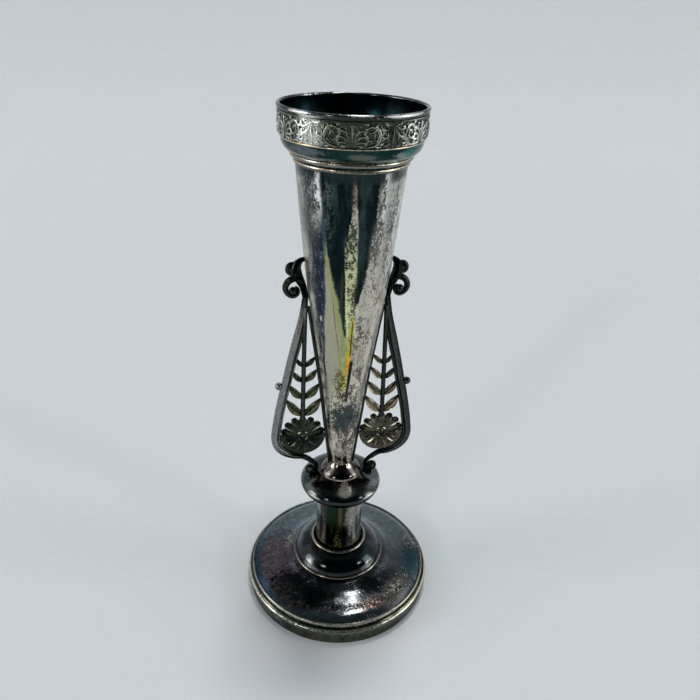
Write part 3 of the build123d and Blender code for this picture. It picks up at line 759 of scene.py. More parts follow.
def add_bump(shader, height, strength, depth):
    """Roughens the surface by a height in metres times a strength."""
    put(shader.inputs["Normal"], node("ShaderNodeBump", {
        "Height": height, "Strength": strength, "Distance": depth}))


def round_place(place):
    """The angle round the vase in degrees, nought in front and growing to the right, and the
    radius and height in mm."""
    x, y, z = split(place)
    angle = maths("DEGREES", maths("ARCTAN2", x, y * -1.0))
    return angle, maths("SQRT", x * x + y * y) / MM, z / MM


def patch(across, along, centre, half_size, ragged, soft=0.3):
    """A patch with a ragged edge, as a share from 0 to 1, at a place given by two values."""
    u = (across - centre[0]) / half_size[0]
    v = (along - centre[1]) / half_size[1]
    return remap(maths("SQRT", u * u + v * v) + ragged, 1 + soft, 1 - soft)


def speckled(skin, gain):
    """Makes a colour lighter and darker by a gain round one, held between two limits."""
    held = maths("MINIMUM", maths("MAXIMUM", gain, 0.3), 1.55)
    return node("ShaderNodeVectorMath", {0: skin, "Scale": held}, operation="SCALE")


SMOOTHEST, GRAIN_ROUGHNESS, GRAIN_DEPTH = 0.05, 0.45, 0.00012


def finish_metal(shader, skin, grain, gloss, frost):
    """Sets the colour, and a roughness that grows with it and jumps with the grain."""
    put(shader.inputs["Base Color"], skin)
    light_share = node("ShaderNodeRGBToBW", {0: skin})
    rough = remap(light_share, 0.04, 0.5, gloss, gloss + frost) + centred(grain, GRAIN_ROUGHNESS)
    put(shader.inputs["Roughness"], maths("MAXIMUM", rough, SMOOTHEST))
    add_bump(shader, grain, 0.25, GRAIN_DEPTH)


# %% Tarnish and painted highlights in patches
PALE, DARK, BROKEN = (0.30, 0.30, 0.28), (0.012, 0.017, 0.018), True


def tarnish_and_highlight_silver(name, film_tones, patches, by="height", cover=0.5, cloud=45, speckle=1.0,
                     gloss=0.14, frost=0.22, inner_edge=0.0):
    """Silver plate under a dark film.

    The film has two tones in clouds. A patch is (angle, height, half angle, half height,
    strength, tone), and a broken one is made of specks; some patches are painted
    highlights and painted reflections. On the flat foot it goes by the radius and not by
    the height. Nearer the axis than inner_edge all is dark, a painted shade inside.
    """
    made, shader, place = start_material(name)
    angle, radius, height = round_place(place)
    along = radius if by == "radius" else height
    clouds = noise(place, cloud, 5, 0.65)
    tints = noise(place, cloud * 0.7, 3, 0.5, offset=(0.3, 0.7, 0.1))
    mottle = noise(place, 380, 4, 0.7)
    pits = noise(place, 1300, 3, 0.7)
    grain = mottle * 0.45 + pits * 0.55
    ragged = centred(clouds, 2.4) + centred(mottle, 2.0) + centred(pits, 1.6)
    specks = remap(grain, 0.45, 0.60)
    film = blend(remap(tints, 0.4, 0.6), *film_tones)
    skin = blend(remap(clouds + centred(grain, speckle), cover, cover + 0.14), film, PALE)
    for at_angle, at, half_angle, half, strength, tone, *broken in patches:
        share = patch(angle, along, (at_angle, at), (half_angle, half), ragged) * strength
        skin = blend(share * specks if broken else share, skin, tone)
    if inner_edge:
        skin = blend(remap(radius, inner_edge, inner_edge - 0.3), skin, DARK)
    skin = speckled(skin, 1.0 + centred(grain, 2.8 * speckle))
    finish_metal(shader, skin, grain, gloss, frost)
    return made


PLUM = (0.085, 0.05, 0.068)
foot_finish = tarnish_and_highlight_silver("foot_silver", ((0.06, 0.067, 0.075), (0.13, 0.13, 0.14)), [
    # the lighter grey-blue at the back is partly tarnish and partly a painted reflection of the
    # pale wall behind
    (-150, 34, 66, 16, 0.85, (0.17, 0.22, 0.24)),
    (150, 34, 66, 16, 0.85, (0.18, 0.22, 0.235)),
    (-84, 34, 36, 10, 0.7, PLUM),
    (-88, 35, 30, 8, 0.7, (0.26, 0.19, 0.20), BROKEN),
    (-38, 31, 28, 9, 0.9, DARK),
    (-52, 37, 26, 5, 0.6, (0.16, 0.12, 0.11), BROKEN),
    (-90, 42, 40, 2.4, 0.7, (0.02, 0.07, 0.11)),
    (76, 39, 24, 5.5, 0.8, (0.025, 0.07, 0.085)),
    (26, 29, 16, 4.5, 0.9, DARK),
    (-2, 34, 18, 6.5, 0.6, (0.12, 0.13, 0.135)),
    (24, 37, 18, 3.6, 0.85, (0.32, 0.21, 0.14), BROKEN),
    (8, 37, 9, 4, 0.6, (0.24, 0.15, 0.12), BROKEN),
    # a painted highlight in front: two small pale patches, with a pale speckled sheen round them
    (-8, 37, 20, 6, 0.7, (0.26, 0.29, 0.30), BROKEN),
    (-7, 32.4, 3.6, 1.5, 0.8, (0.36, 0.37, 0.36)),
    (5, 32.6, 3.2, 1.4, 0.8, (0.36, 0.37, 0.36)),
    (44, 37, 16, 5, 0.8, (0.19, 0.18, 0.16)),
    (44, 37, 15, 5, 0.85, (0.42, 0.40, 0.35), BROKEN),
    (38, 41, 12, 2.2, 0.7, (0.34, 0.33, 0.30)),
    (-108, 26, 12, 2.4, 0.7, (0.42, 0.38, 0.30), BROKEN),
    (-5, 41.5, 30, 2.0, 0.8, (0.07, 0.11, 0.12)),
    # a pale line along the plate's rolled edge, partly wear and partly a painted highlight
    (-5, 44.2, 130, 0.7, 0.7, (0.52, 0.52, 0.42)),
], by="radius", cover=0.66, speckle=1.3, gloss=0.13)
skirt_finish = tarnish_and_highlight_silver("skirt_silver", ((0.02, 0.024, 0.018), (0.085, 0.088, 0.062)), [
    (-5, 4, 30, 4, 0.7, (0.17, 0.17, 0.12), BROKEN),
    # the pale speckled patches on the two sides are partly frost and partly a painted reflection of
    # the bright walls
    (52, 5, 28, 4.5, 0.75, (0.42, 0.41, 0.34), BROKEN),
    (-66, 5, 26, 4.5, 0.75, (0.42, 0.43, 0.37), BROKEN),
], cover=0.70, cloud=110, gloss=0.16)
boss_finish = tarnish_and_highlight_silver("boss_silver", ((0.02, 0.027, 0.027), (0.04, 0.042, 0.045)), [
    (-160, 21, 60, 8, 0.8, (0.15, 0.17, 0.19)),
    (150, 21, 66, 8, 0.8, (0.17, 0.18, 0.20)),
    (80, 21, 22, 7, 0.7, (0.13, 0.13, 0.15), BROKEN),
    (-90, 20, 20, 6, 0.7, (0.12, 0.12, 0.13), BROKEN),
    # painted highlights of the side lights: on each side a soft pale patch with a brighter core
    (-49, 19.2, 10, 2.0, 0.7, (0.24, 0.25, 0.24)),
    (-50, 19.0, 4, 0.9, 0.7, (0.42, 0.42, 0.40)),
    (38, 19.2, 10, 2.0, 0.7, (0.26, 0.27, 0.26)),
    (38, 19.0, 4, 0.9, 0.7, (0.40, 0.40, 0.38)),
    (-20, 17.4, 22, 1.4, 0.6, (0.26, 0.2, 0.18), BROKEN),
], cover=0.74, gloss=0.09, speckle=0.7)
stem_finish = tarnish_and_highlight_silver("stem_silver", ((0.02, 0.026, 0.02), (0.08, 0.08, 0.06)), [
    (-72, 44, 10, 24, 0.7, (0.30, 0.31, 0.27)),
    (-50, 40, 11, 26, 0.8, (0.10, 0.11, 0.09), BROKEN),
    (-28, 38, 13, 26, 0.9, (0.010, 0.035, 0.014)),
    (-10, 31, 10, 9, 0.9, (0.50, 0.45, 0.14), BROKEN),
    (-6, 44, 4.5, 16, 0.8, (0.12, 0.13, 0.05)),
    (5, 38, 5, 26, 0.95, (0.03, 0.02, 0.012)),
    (27, 44, 17, 15, 0.7, (0.36, 0.35, 0.31)),
    (27, 40, 12, 18, 0.7, (0.48, 0.46, 0.41), BROKEN),
    (50, 42, 9, 22, 0.7, (0.40, 0.39, 0.35)),
    (30, 30, 30, 4, 0.7, (0.08, 0.08, 0.05), BROKEN),
    (0, 25, 80, 2, 0.7, (0.02, 0.03, 0.016)),
], cover=0.7, gloss=0.1, speckle=0.8)
knop_finish = tarnish_and_highlight_silver("knop_silver", ((0.018, 0.026, 0.026), (0.045, 0.052, 0.052)), [
    # a painted highlight in front with a frosted, speckled edge, and two thin painted highlight
    # crescents by the seam
    (0, 66.2, 17, 1.8, 0.85, (0.42, 0.43, 0.34), BROKEN),
    (0, 66.6, 10, 1.5, 0.95, (0.97, 0.95, 0.80)),
    (-51, 62.9, 11, 0.6, 0.85, (0.7, 0.7, 0.64)),
    (36, 63.1, 12, 0.5, 0.85, (0.7, 0.7, 0.64)),
    (66, 66.5, 20, 3, 0.7, (0.24, 0.24, 0.23)),
    (-62, 65.5, 16, 2.6, 0.7, (0.17, 0.18, 0.17)),
    (-75, 67.2, 14, 0.9, 0.85, (0.55, 0.28, 0.09), BROKEN),
    (-95, 65, 24, 4, 0.7, (0.10, 0.13, 0.13)),
], cover=0.74, gloss=0.09, speckle=0.8)
collar_finish = tarnish_and_highlight_silver("collar_silver", ((0.035, 0.032, 0.03), (0.11, 0.09, 0.08)), [
    # painted highlights on either side
    (-51, 72, 15, 1.8, 0.85, (0.62, 0.58, 0.52)),
    (34, 72.2, 12, 1.8, 0.85, (0.5, 0.46, 0.42)),
    (-4, 70.6, 16, 2.2, 0.95, DARK),
    (0, 73.5, 60, 0.8, 0.7, (0.07, 0.07, 0.03), BROKEN),
    (-70, 70.6, 16, 2.5, 0.7, (0.26, 0.22, 0.2)),
    # a painted highlight along the collar's rim
    (-10, 68.3, 85, 0.45, 0.8, (0.66, 0.6, 0.52)),
], cover=0.66, gloss=0.1)
cove_finish = tarnish_and_highlight_silver("cove_silver", ((0.008, 0.026, 0.026), (0.018, 0.05, 0.045)), [
    # painted highlights: a pale line all round and pale patches in front and on the left
    (0, 220.1, 180, 0.8, 0.6, (0.24, 0.28, 0.25)),
    (0, 222.0, 12, 1.1, 0.7, (0.17, 0.18, 0.155)),
    (-44, 222.8, 16, 1.5, 0.7, (0.17, 0.21, 0.215)),
    (-6, 221.4, 7, 0.9, 0.7, (0.04, 0.11, 0.04), BROKEN),
    # two more painted highlights on the right, the second a bright teal
    (33, 222.2, 7, 0.9, 0.7, (0.34, 0.37, 0.34)),
    (46, 222.8, 12, 1.3, 0.8, (0.04, 0.18, 0.17)),
# nearer the axis than the inner edge all is painted shade
], cover=0.8, speckle=0.8, inner_edge=22.9)
lip_finish = tarnish_and_highlight_silver("lip_silver", ((0.03, 0.038, 0.042), (0.09, 0.10, 0.105)), [
    # painted highlight lines along the front of the lip
    (-50, 235.6, 10, 0.6, 0.85, (0.75, 0.75, 0.71)),
    (-3, 235.8, 13, 0.45, 0.9, (0.85, 0.85, 0.82)),
    (30, 235.6, 15, 0.5, 0.85, (0.75, 0.75, 0.71)),
    (-160, 236, 30, 0.6, 0.7, (0.7, 0.7, 0.68), BROKEN),
], cover=0.64, speckle=1.2, gloss=0.12)
print("tarnish laid on the foot, stem, knop, collar, cove and lip")

# %% [markdown]
# ## The trumpet's own finish
# The trumpet shows long upright bands: two dark wedges in front that narrow downwards, a
# pale yellow-green stripe between them with orange threads, a blue edge on their left, and
# frosted silver at the sides. The dark wedges are a painted reflection of the open dark
# front over tarnish, a bright streak on either side of them is a painted highlight, and the
# pale sides are partly a painted reflection of the bright walls. All of them are part of its
# colour, so they keep their places when the vase is seen from another side. Each band is
# the space between two lines, and a line is a table of (height, angle), made of straight
# pieces.


# %% Bands between two lines
def line_at(height, table):
    """The value that a table of (height, value) gives at each height, in straight pieces."""
    sum_so_far = table[0][1]
    for (z0, a0), (z1, a1) in zip(table, table[1:]):
        sum_so_far = sum_so_far + remap(height, z0, z1, 0, a1 - a0, "LINEAR")
    return sum_so_far


def band(angle, left, right, wobble, soft=2.0, fades=()):
    """1 between two lines, 0 outside; soft is the edge's width in degrees.

    Each fade is a height where the band is gone and the next one where it is whole.
    """
    spot = angle + wobble
    share = remap(spot - left, -soft, soft) * remap(right - spot, -soft, soft)
    for gone, whole in fades:
        share = share * remap(height, gone, whole)
    return share


def thread(angle, line, half, wobble, soft=1.0, fades=()):
    """A thin band on both sides of a line."""
    return band(angle, line - half, line + half, wobble, soft, fades)


# %% Trumpet silver: its noises
trumpet_finish, shader, place = start_material("trumpet_silver")
angle, radius, height = round_place(place)
pits = noise(place, 1100, 4, 0.75)
mottle = noise(place, 420, 4, 0.7, stretch=(1, 1, 0.5))
streaks = noise(place, 260, 4, 0.6, stretch=(1, 1, 0.12))
clouds = noise(place, 60, 5, 0.65, stretch=(1, 1, 0.45))
grain = mottle * 0.5 + pits * 0.5
fine = centred(streaks, 8.0) + centred(pits, 7.0)
torn = centred(streaks, 20.0) + centred(mottle, 34.0) + centred(pits, 30.0)

# %% Trumpet silver: frosted ground with pits in clusters
warm_ground = blend(remap(height, 150, 205), (0.68, 0.64, 0.54), (0.46, 0.46, 0.42))
skin = blend(remap(streaks, 0.56, 0.38, 0, 0.6), warm_ground, (0.36, 0.34, 0.30))
clusters = grain + centred(clouds, 0.55)
pit_share = remap(clusters, 0.48, 0.41) * line_at(height, [(84, 0.85), (112, 0.3), (150, 0.35),
    (178, 0.75), (195, 0.95)])
skin = blend(pit_share, skin, (0.06, 0.058, 0.052))
calm = band(angle, -46.0, -16.0, fine, 3, fades=[(112, 126), (182, 172)])
calm_right = band(angle, 6.0, 64.0, fine, 4, fades=[(106, 120), (190, 172)]) * 0.75
calm = maths("MAXIMUM", calm, calm_right)

# %% Trumpet silver: left side, and the two painted highlight streaks
# the pale strip on the left is partly frost and partly a painted reflection of the bright wall
left_frost_and_reflection = band(angle, -84.0, -61.0, torn, 4, fades=[(150, 165)])
skin = blend(left_frost_and_reflection * 0.7, skin, (0.50, 0.51, 0.44))
blue_line = line_at(height, [(100, -58), (133, -54), (143, -49), (163, -41.5), (180, -39.5),
    (191, -38.5), (200, -39)])
plum_side = band(angle, -62.0, blue_line, torn, 4, fades=[(128, 146), (199, 190)])
plum_tone = blend(remap(grain, 0.49, 0.64), (0.022, 0.03, 0.045), (0.14, 0.15, 0.18))
skin = blend(plum_side, skin, plum_tone)
dark_specks = band(angle, -66.0, -48.0, torn, 5, fades=[(182, 190)])
skin = blend(dark_specks * remap(grain, 0.62, 0.51), skin, (0.05, 0.058, 0.062))
dim_top = remap(height, 182, 200) * remap(clouds, 0.62, 0.42)
skin = blend(dim_top * 0.8, skin, (0.15, 0.15, 0.14))
# a bright streak on either side of the wedges is a painted highlight
LEFT_HIGHLIGHT, RIGHT_HIGHLIGHT = -40.5, 31.0
painted_highlight_left = thread(angle, LEFT_HIGHLIGHT, 3.2, torn, 3, fades=[(198, 205), (215.5, 214)])
skin = blend(painted_highlight_left * remap(grain, 0.40, 0.50), skin, (0.94, 0.94, 0.91))
painted_highlight_right = thread(angle, RIGHT_HIGHLIGHT, 2.6, torn, 3, fades=[(188, 200), (215.5, 214)])
skin = blend(painted_highlight_right * remap(grain, 0.43, 0.52), skin, (0.82, 0.82, 0.80))
beside_wedge = band(angle, 18.0, 28.0, torn, 3, fades=[(180, 190)]) * remap(clusters, 0.60, 0.50)
skin = blend(beside_wedge * 0.9, skin, (0.10, 0.10, 0.09))
# the pale right side is partly frost and partly a painted reflection of the bright wall
right_frost_and_reflection = band(angle, 52.0, 90.0, torn, 4, fades=[(150, 180)]) * remap(clusters, 0.44, 0.52)
skin = blend(right_frost_and_reflection * 0.8, skin, (0.66, 0.65, 0.59))
right_specks = thread(angle, 43.0, 7.0, torn, 6, fades=[(165, 190)])
skin = blend(right_specks * remap(clusters, 0.56, 0.48) * 0.9, skin, (0.09, 0.085, 0.075))

# %% Trumpet silver: pale olive field on the left of the wedges
# the left edge of the dark wedges, a painted reflection, also bounds the olive field
dark_reflection_left = line_at(height, [(147, -10.5), (152, -14), (158, -17.5), (165, -21), (171, -26),
    (178, -31), (186, -35), (194, -38), (214, -41)])
olive = band(angle, blue_line, line_at(height, [(118, -6), (136, -4), (150, -8), (158, -14),
    (178, -29), (190, -37)]), fine, 2.5)
olive_tone = blend(band(angle, dark_reflection_left - 7.0, 0.0, fine, 3.0), (0.47, 0.455, 0.33),
    (0.42, 0.44, 0.20))
skin = blend(olive * remap(height, 100, 125) * remap(height, 196, 186), skin, olive_tone)

# %% Trumpet silver: two dark wedges, a painted reflection over tarnish
# the two dark wedges are a painted reflection of the open dark front, with tarnish specks and a
# brown thread in them
dark_reflection_right = line_at(height, [(153, 2.4), (156, 3.6), (161, 5), (172, 13.5), (180, 17), (188, 20),
    (196, 21.5), (214, 20)])
dark = band(angle, dark_reflection_left, dark_reflection_right, fine + centred(mottle, 8.0), 1.6, fades=[(146, 149)])
tarnish_and_reflection_tone = blend(remap(streaks, 0.46, 0.60), (0.006, 0.014, 0.017), (0.026, 0.05, 0.05))
tarnish_and_reflection_tone = blend(thread(angle, -16.0, 1.4, fine, 1.4, fades=[(180, 172)]) * 0.6, tarnish_and_reflection_tone,
    (0.10, 0.085, 0.045))
speckle_edge = remap(angle, -20, -34) * remap(height, 182, 198)
speckle_share = speckle_edge * remap(grain + centred(clouds, 0.2), 0.49, 0.54)
tarnish_and_reflection_tone = blend(speckle_share, tarnish_and_reflection_tone, (0.085, 0.10, 0.10))
skin = blend(dark, skin, tarnish_and_reflection_tone)
# the same painted dark reflection and tarnish is laid again in a wedge at the back
from_back = 180.0 - abs(angle)
back_line = line_at(height, [(118, 1), (150, 12), (180, 26), (214, 36)])
back_wedge = remap(back_line - (from_back + torn), -4.0, 4.0) * remap(height, 112, 122)
back_stripe = remap(from_back + fine, 3.0, 6.0)
skin = blend(back_wedge * back_stripe, skin, tarnish_and_reflection_tone)

# %% Trumpet silver: the stripe between the wedges
stripe_left = line_at(height, [(121, -8.5), (128, -5.5), (138, -6.5), (149, -8), (161, -10.7),
    (172, -11.7), (180, -12.3), (187, -11.7), (195, -9), (202, -5), (204, -3.6)])
stripe_right = line_at(height, [(128, -4), (138, 0), (151, 1.2), (161, 2.4), (172, 3.4), (180, 2.6),
    (195, 1.8), (202, -1.4), (204, -3.2)])
stripe = band(angle, stripe_left, stripe_right, fine, 1.1, fades=[(116, 126)])
stripe_tone = blend(remap(height, 128, 140), (0.26, 0.26, 0.07), (0.46, 0.50, 0.18))
stripe_tone = blend(remap(height, 146, 156), stripe_tone, (0.60, 0.64, 0.36))
stripe_tone = blend(remap(height, 172, 196), stripe_tone, (0.52, 0.50, 0.40))
stripe_pits = remap(grain + centred(clouds, 0.4), 0.50, 0.44) * remap(height, 148, 160)
brown_pits = remap(grain + remap(angle, -8, 0, 0.07, -0.03), 0.52, 0.46)
brown_pits = brown_pits * remap(height, 154, 160) * remap(height, 176, 170)
stripe_tone = blend(stripe_pits, stripe_tone, (0.07, 0.085, 0.05))
stripe_tone = blend(brown_pits, stripe_tone, (0.09, 0.06, 0.035))
skin = blend(stripe, skin, stripe_tone)
lime = thread(angle, stripe_left + 1.6, 1.2, centred(streaks, 3.0), 0.8,
    fades=[(145, 149), (172, 165)])
skin = blend(lime * 0.9, skin, (0.78, 0.86, 0.48))
wobble = centred(streaks, 5.0)
orange_line = line_at(height, [(120, -8), (128, -4.6), (137, -0.7), (146, 0.2), (158, 1.1)])
orange_half = line_at(height, [(120, 2.8), (130, 2.8), (137, 3.2), (150, 3.0), (158, 1.5)])
orange = thread(angle, orange_line, orange_half, wobble, fades=[(118, 122), (160, 155)])
orange_tone = blend(thread(height, 133.0, 5.0, 0.0, 4.0), (0.62, 0.52, 0.06), (0.86, 0.46, 0.02))
skin = blend(orange, skin, orange_tone)
dark_core = thread(angle, 0.7, 1.0, wobble, 0.8, fades=[(136, 139), (157, 153)])
dark_line = thread(angle, line_at(height, [(114, -1.6), (125, 1.8), (135, 4.2)]), 3.4, wobble, 1.4,
    fades=[(111, 114), (137, 134)])
left_thread_line = line_at(height, [(120, -11), (136, -19), (151, -24.3), (169, -29)])
left_thread = thread(angle, left_thread_line, 0.7, wobble, 0.9, fades=[(118, 122), (170, 160)])
left_thread_tone = blend(remap(height, 128, 146), (0.42, 0.38, 0.03), (0.17, 0.17, 0.08))
skin = blend(left_thread, skin, left_thread_tone)
skin = blend(maths("MAXIMUM", dark_core, dark_line), skin, (0.014, 0.022, 0.024))
copper_share = remap(clouds + centred(grain, 1.2), 0.40, 0.56, 0.1, 0.9)
copper_streak = thread(angle, -4.0, 1.3, fine, 1.4, fades=[(202, 204)]) * copper_share
skin = blend(copper_streak * 0.8, skin, (0.34, 0.23, 0.16))

# %% Trumpet silver: blue edge, blotches, dark foot, and painted shade under the neck wire
blue = thread(angle, blue_line - 0.5, 2.6, fine, 2.0, fades=[(112, 132), (203, 192)])
skin = blend(blue * 0.9, skin, (0.014, 0.042, 0.085))
ragged = centred(clouds, 1.6) + centred(mottle, 2.6) + centred(pits, 2.2)
blotch = patch(angle, height, (0, 102.5), (52, 9.5), ragged, 0.35)
blotch_tone = blend(remap(grain, 0.47, 0.56), (0.008, 0.026, 0.032), (0.025, 0.07, 0.085))
skin = blend(blotch * 0.95, skin, blotch_tone)
for centre, half_size, tone in (
        ((-3, 113), (18, 6), (0.07, 0.07, 0.045)),
        ((4, 95), (34, 8), (0.06, 0.06, 0.05)),
        ((0, 88), (50, 5), (0.10, 0.09, 0.055)),
        ((-19, 122), (13, 7), (0.10, 0.08, 0.03)),
        ((-8, 121), (8, 4), (0.10, 0.10, 0.02)),
        ((-40, 98), (20, 7), (0.09, 0.08, 0.05)),
        ((18, 153), (10, 4), (0.16, 0.17, 0.16)),
        ((20, 145), (14, 5), (0.17, 0.13, 0.10)),
        ((26, 174), (7, 5), (0.2, 0.18, 0.16)),
        ((10, 118), (8, 6), (0.1, 0.08, 0.07)),
        ((22, 127), (12, 9), (0.15, 0.11, 0.09)),
        ((14, 113), (20, 6), (0.09, 0.08, 0.07)),
        ((24, 187), (8, 8), (0.16, 0.15, 0.14)),
        ((-30, 109), (16, 5), (0.08, 0.075, 0.05))):
    specks = patch(angle, height, centre, half_size, ragged, 0.5) * remap(grain, 0.53, 0.47) * 0.9
    skin = blend(specks, skin, tone)
rosy = remap(angle, -6, 8) * remap(height, 104, 96) * remap(grain, 0.54, 0.47)
skin = blend(rosy * 0.85, skin, (0.16, 0.115, 0.10))
foot_shade = remap(height, 86, 77) * remap(grain, 0.60, 0.46)
skin = blend(foot_shade * 0.9, skin, (0.07, 0.06, 0.03))
# below the neck wire the metal darkens all round, painted shade with dark tarnish, except on the
# two painted highlight streaks
neck_tarnish_and_shade = remap(height + centred(grain, 8.0), 210.5, 213.0)
lit = maths("MAXIMUM", thread(angle, LEFT_HIGHLIGHT, 4.0, fine, 4),
            thread(angle, RIGHT_HIGHLIGHT, 3.5, fine, 4))
neck_tarnish_and_shade = neck_tarnish_and_shade * (1.0 - lit) * 0.85
skin = blend(neck_tarnish_and_shade, skin, (0.02, 0.035, 0.035))

# %% Trumpet silver: painted shade inside, and the metal
# inside the wall all is painted shade, with clouds of painted teal reflection
inside = remap(line_at(height, [(z, r) for r, z in TRUMPET_LINE]) - radius, 0.35, 0.55)
INSIDE_SHADE, INSIDE_TEAL_REFLECTION = (0.003, 0.006, 0.007), (0.006, 0.026, 0.030)
skin = speckled(skin, 1.0 + centred(grain, 3.0) * (1.0 - calm * 0.75))
skin = blend(inside, skin, blend(remap(clouds, 0.5, 0.7), INSIDE_SHADE, INSIDE_TEAL_REFLECTION))
finish_metal(shader, skin, grain, 0.12, 0.24)
print("trumpet finish made of", len(tree.nodes), "nodes")

# %% [markdown]
# ## Thin wires
# The wires and rings are the first places where the plate wears through. Only their
# crest is rubbed, so each gets a thin warm line at its crest, with gaps, on dark silver.
# On the foot's bead the line lies along its top and its pale tone is partly a painted
# highlight, and on the rosette's eye the line is a painted highlight on the top of the
# ball and ring.


# %% Wires with a worn crest, and painted highlights on the bead and the eye
def wear_and_highlight_wire(name, crest, half, base=(0.10, 0.10, 0.085), rubbed=(0.60, 0.44, 0.27),
        pale=(0.62, 0.60, 0.50)):
    """Dark silver with a warm line at the crest's height in mm, broken by noise."""
    made, shader, place = start_material(name)
    height = split(place)[2] / MM
    clouds = noise(place, 70, 4, 0.6)
    pits = noise(place, 900, 4, 0.7)
    near = abs(height - crest)
    gaps = remap(clouds + centred(pits, 0.8), 0.34, 0.50, 0.25, 1.0)
    line = remap(near + centred(pits, 0.5 * half), half * 1.3, half * 0.6) * gaps
    crest_tone = blend(remap(clouds, 0.44, 0.60), pale, rubbed)
    skin = blend(line, blend(remap(pits, 0.42, 0.6), base, (0.22, 0.22, 0.19)), crest_tone)
    finish_metal(shader, skin, pits, 0.13, 0.12)
    return made


wire_finishes = {
    # the bead's pale line is partly wear and partly a painted highlight
    "foot_bead": wear_and_highlight_wire("bead_wire_silver", 8.5, 0.6, rubbed=(0.58, 0.55, 0.36),
                           pale=(0.78, 0.77, 0.64)),
    "boss_line": wear_and_highlight_wire("boss_wire_silver", 17.6, 0.28, rubbed=(0.48, 0.34, 0.26),
                           pale=(0.42, 0.40, 0.34)),
    "stem_foot_line": wear_and_highlight_wire("stem_wire_silver", 26.5, 0.25, rubbed=(0.46, 0.36, 0.28),
                                pale=(0.42, 0.40, 0.34)),
    "knop_joint_line": wear_and_highlight_wire("knop_wire_silver", 55.0, 0.3, pale=(0.6, 0.6, 0.52)),
    "neck_line": wear_and_highlight_wire("neck_wire_silver", 216.35, 0.3),
    "cove_foot_line": wear_and_highlight_wire("cove_wire_silver", 218.95, 0.3, base=(0.20, 0.21, 0.19)),
    "band_foot_line": wear_and_highlight_wire("band_wire_silver", 224.85, 0.3),
}
# on the rosette's eye the pale line is a painted highlight on top of the ball and ring
for name in ("flower_eye_right", "flower_eye_left"):
    wire_finishes[name] = wear_and_highlight_wire(name + "_silver", 91.5, 0.5, base=(0.03, 0.035, 0.03))

# %% [markdown]
# ## The band's finish
# The ground of the band is black with old tarnish, and only its relief is rubbed bright. It
# could be painted, but the distance from the axis already tells relief from ground, so
# that distance chooses between the two. Two pale patches over it are painted highlights,
# and dim patches darken it, all by angle. Inside the band all is painted shade.

# %% Chased band: black in the ground, bright on the relief
band_finish, shader, place = start_material("chased_silver")
angle, reach, height = round_place(place)
ground_line = line_at(height, [(225.1, 26.68), (226.0, 27.2), (227.0, 27.4)])
rise = reach - ground_line
clouds = noise(place, 55, 4, 0.6)
grain = noise(place, 1400, 3, 0.7)
high = remap(rise + centred(grain, 0.3), 0.0, 0.55)
ragged = centred(clouds, 1.6) + centred(grain, 0.8)
bright = blend(remap(clouds, 0.42, 0.6), (0.30, 0.30, 0.26), (0.56, 0.55, 0.50))
# the pale patches at -42 and 45 degrees are painted highlights, and the others dim the relief
for centre, half_size, soft, tone in (
        ((-4, 231), (26, 12), 0.5, (0.19, 0.20, 0.145)),
        ((76, 231), (20, 12), 0.5, (0.13, 0.13, 0.12)),
        ((-42, 230), (8, 9), 0.4, (0.86, 0.86, 0.82)),
        ((21, 230), (7, 9), 0.5, (0.10, 0.11, 0.10)),
        ((45, 229), (8, 9), 0.5, (0.80, 0.79, 0.74))):
    bright = blend(patch(angle, height, centre, half_size, ragged, soft), bright, tone)
# the ground is pale at -42 degrees as well, the same painted highlight
ground = blend(patch(angle, height, (-42, 230), (9, 9), ragged, 0.5), (0.05, 0.057, 0.047),
    (0.56, 0.56, 0.52))
skin = blend(high, ground, bright)
skin = speckled(skin, 1.0 + centred(grain, 2.2))
# inside the band all is painted shade, with clouds of painted teal reflection
inside = remap(rise, -0.2, -0.3)
teal_reflection_clouds = remap(noise(place, 70, 4, 0.6, stretch=(1, 1, 0.5)), 0.48, 0.66)
skin = blend(inside, skin, blend(teal_reflection_clouds, INSIDE_SHADE, INSIDE_TEAL_REFLECTION))
put(shader.inputs["Base Color"], skin)
put(shader.inputs["Roughness"], remap(high, 0, 1, 0.26, 0.11) + centred(grain, 0.16))
add_bump(shader, grain, 0.3, 0.0001)

# %% [markdown]
# ## The cast handles
# The handles are cast from a soft white metal and thinly plated. Dirt stays in their
# hollows, and their faces are rubbed and dull. How far a point lies out of the handle's
# plane tells the faces from the hollows. The right handle and the left have their own
# tones, and the side of the vase chooses between them. On the bars the lighter left tone,
# and a pale sheen along the left bar's outer edge, are a painted reflection of the bright
# wall on that side.


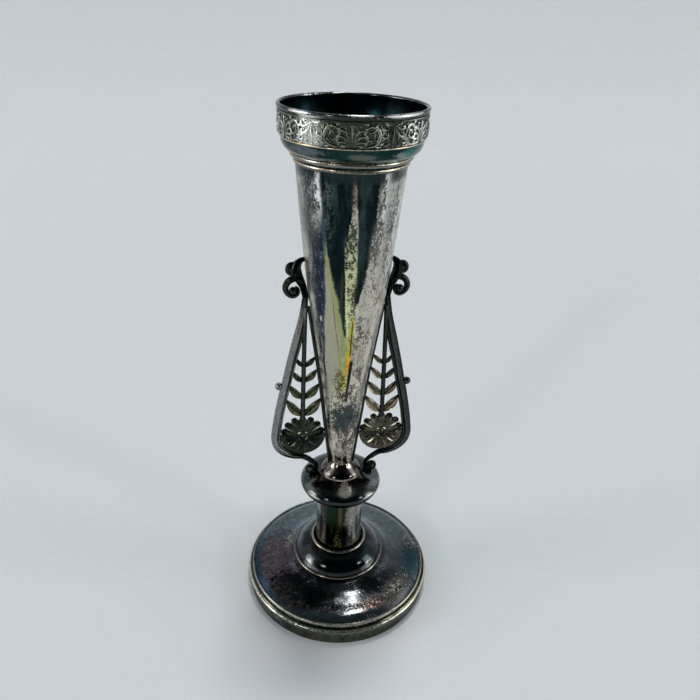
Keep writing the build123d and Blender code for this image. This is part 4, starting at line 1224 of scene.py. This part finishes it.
# %% Cast pewter
def cast_pewter(name, low, high_depth, hollow, left_tone, right_tone, gloss=0.13, dim=0.0):
    """Dark in its hollows, rubbed on its high parts, with a tone for each handle and a painted
    sheen.
    """
    made, shader, place = start_material(name)
    x, y, z = split(place)
    depth = abs(y)
    pits = noise(place, 900, 4, 0.7)
    clouds = noise(place, 90, 4, 0.6)
    bar_line = line_at(z, [(0.0, 0.013), (0.074, 0.014), (0.080, 0.0245), (0.0881, 0.0286),
        (0.1198, 0.0230), (0.1595, 0.0160)])
    high = remap(depth / MM + centred(pits, 0.25) + centred(clouds, 0.5), low, high_depth)
    tone = blend(remap(x, -0.01, 0.01), left_tone, right_tone)
    tone = blend(remap(clouds, 0.40, 0.62, 0, 0.7), tone, (0.045, 0.055, 0.048))
    inner = remap(abs(x) - bar_line, 0.0004, -0.0006)
    upper = remap(z, 0.156, 0.162)
    tone = blend(maths("MAXIMUM", inner, upper) * dim, tone, (0.035, 0.04, 0.037))
    skin = blend(high, hollow, tone)
    # a painted sheen: the reflection of the bright wall along the left bar's outer edge
    outer = remap(abs(x) - bar_line, 0.0012, 0.0022)
    outer = outer * remap(x, 0.0, -0.01) * remap(z, 0.158, 0.150) * remap(z, 0.078, 0.086)
    skin = blend(outer * dim, skin, (0.25, 0.255, 0.26))
    skin = speckled(skin, 1.0 + centred(pits, 2.5))
    put(shader.inputs["Base Color"], skin)
    rough = remap(clouds, 0.3, 0.7, gloss, gloss + 0.12) + centred(pits, 0.2)
    put(shader.inputs["Roughness"], rough)
    add_bump(shader, pits, 0.25, 0.00015)
    return made


HOLLOW = (0.012, 0.017, 0.015)
# the lighter left tone of the bar is a painted reflection of the bright wall on that side
bar_finish = cast_pewter("bar_pewter", 0.5, 1.3, HOLLOW, (0.24, 0.23, 0.20), (0.07, 0.078, 0.07),
    dim=0.9)
leaf_finish = cast_pewter("leaf_pewter", 0.16, 0.55, HOLLOW, (0.20, 0.19, 0.11), (0.40, 0.34, 0.24),
    0.18)
flower_finish = cast_pewter("flower_pewter", 0.45, 1.25, HOLLOW, (0.10, 0.11, 0.08),
    (0.36, 0.32, 0.24), 0.2)

# %% [markdown]
# ## Turned brass
# The rod, nut, washer and plug are hidden in the vase and never polished. A plain dull
# brass is enough, with turning marks made of one noise that is squeezed along the axis.

# %% Dull brass of the rod, nut, washer and plug
brass_finish, shader, place = start_material("dull_brass")
marks = noise(place, 300, 3, 0.6, stretch=(1, 1, 4))
put(shader.inputs["Base Color"], blend(remap(marks, 0.4, 0.65), (0.3, 0.22, 0.1), (0.52, 0.4, 0.2)))
put(shader.inputs["Roughness"], remap(marks, 0.3, 0.7, 0.32, 0.5))

# %% [markdown]
# ## Who wears what
# Each piece gets one material. The pieces inside the vase keep their CAD shape, because
# nobody sees them, and only their material slot changes.

# %% Assign the finishes
finishes = {"foot_skirt_skin": skirt_finish, "foot_plate_skin": foot_finish,
    "foot_boss_skin": boss_finish, "stem_skin": stem_finish, "knop_lower_skin": knop_finish,
    "knop_upper_skin": knop_finish, "collar_skin": collar_finish, "trumpet_skin": trumpet_finish,
    "cove_skin": cove_finish, "lip_skin": lip_finish, "chased_band": band_finish}
finishes.update(wire_finishes)
for side in ("_right", "_left"):
    finishes.update({"handle_bar" + side: bar_finish, "handle_ball" + side: bar_finish,
        "handle_leaves" + side: leaf_finish, "handle_flower" + side: flower_finish})
for name, piece in pieces.items():
    piece.data.materials.clear()
    piece.data.materials.append(finishes[name])
for name in ("trumpet_plug", "tie_rod", "rod_washer", "rod_nut"):
    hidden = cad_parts[name]
    hidden.data.materials.clear()
    hidden.data.materials.append(brass_finish)
bpy.context.scene.view_settings.view_transform = "Standard"
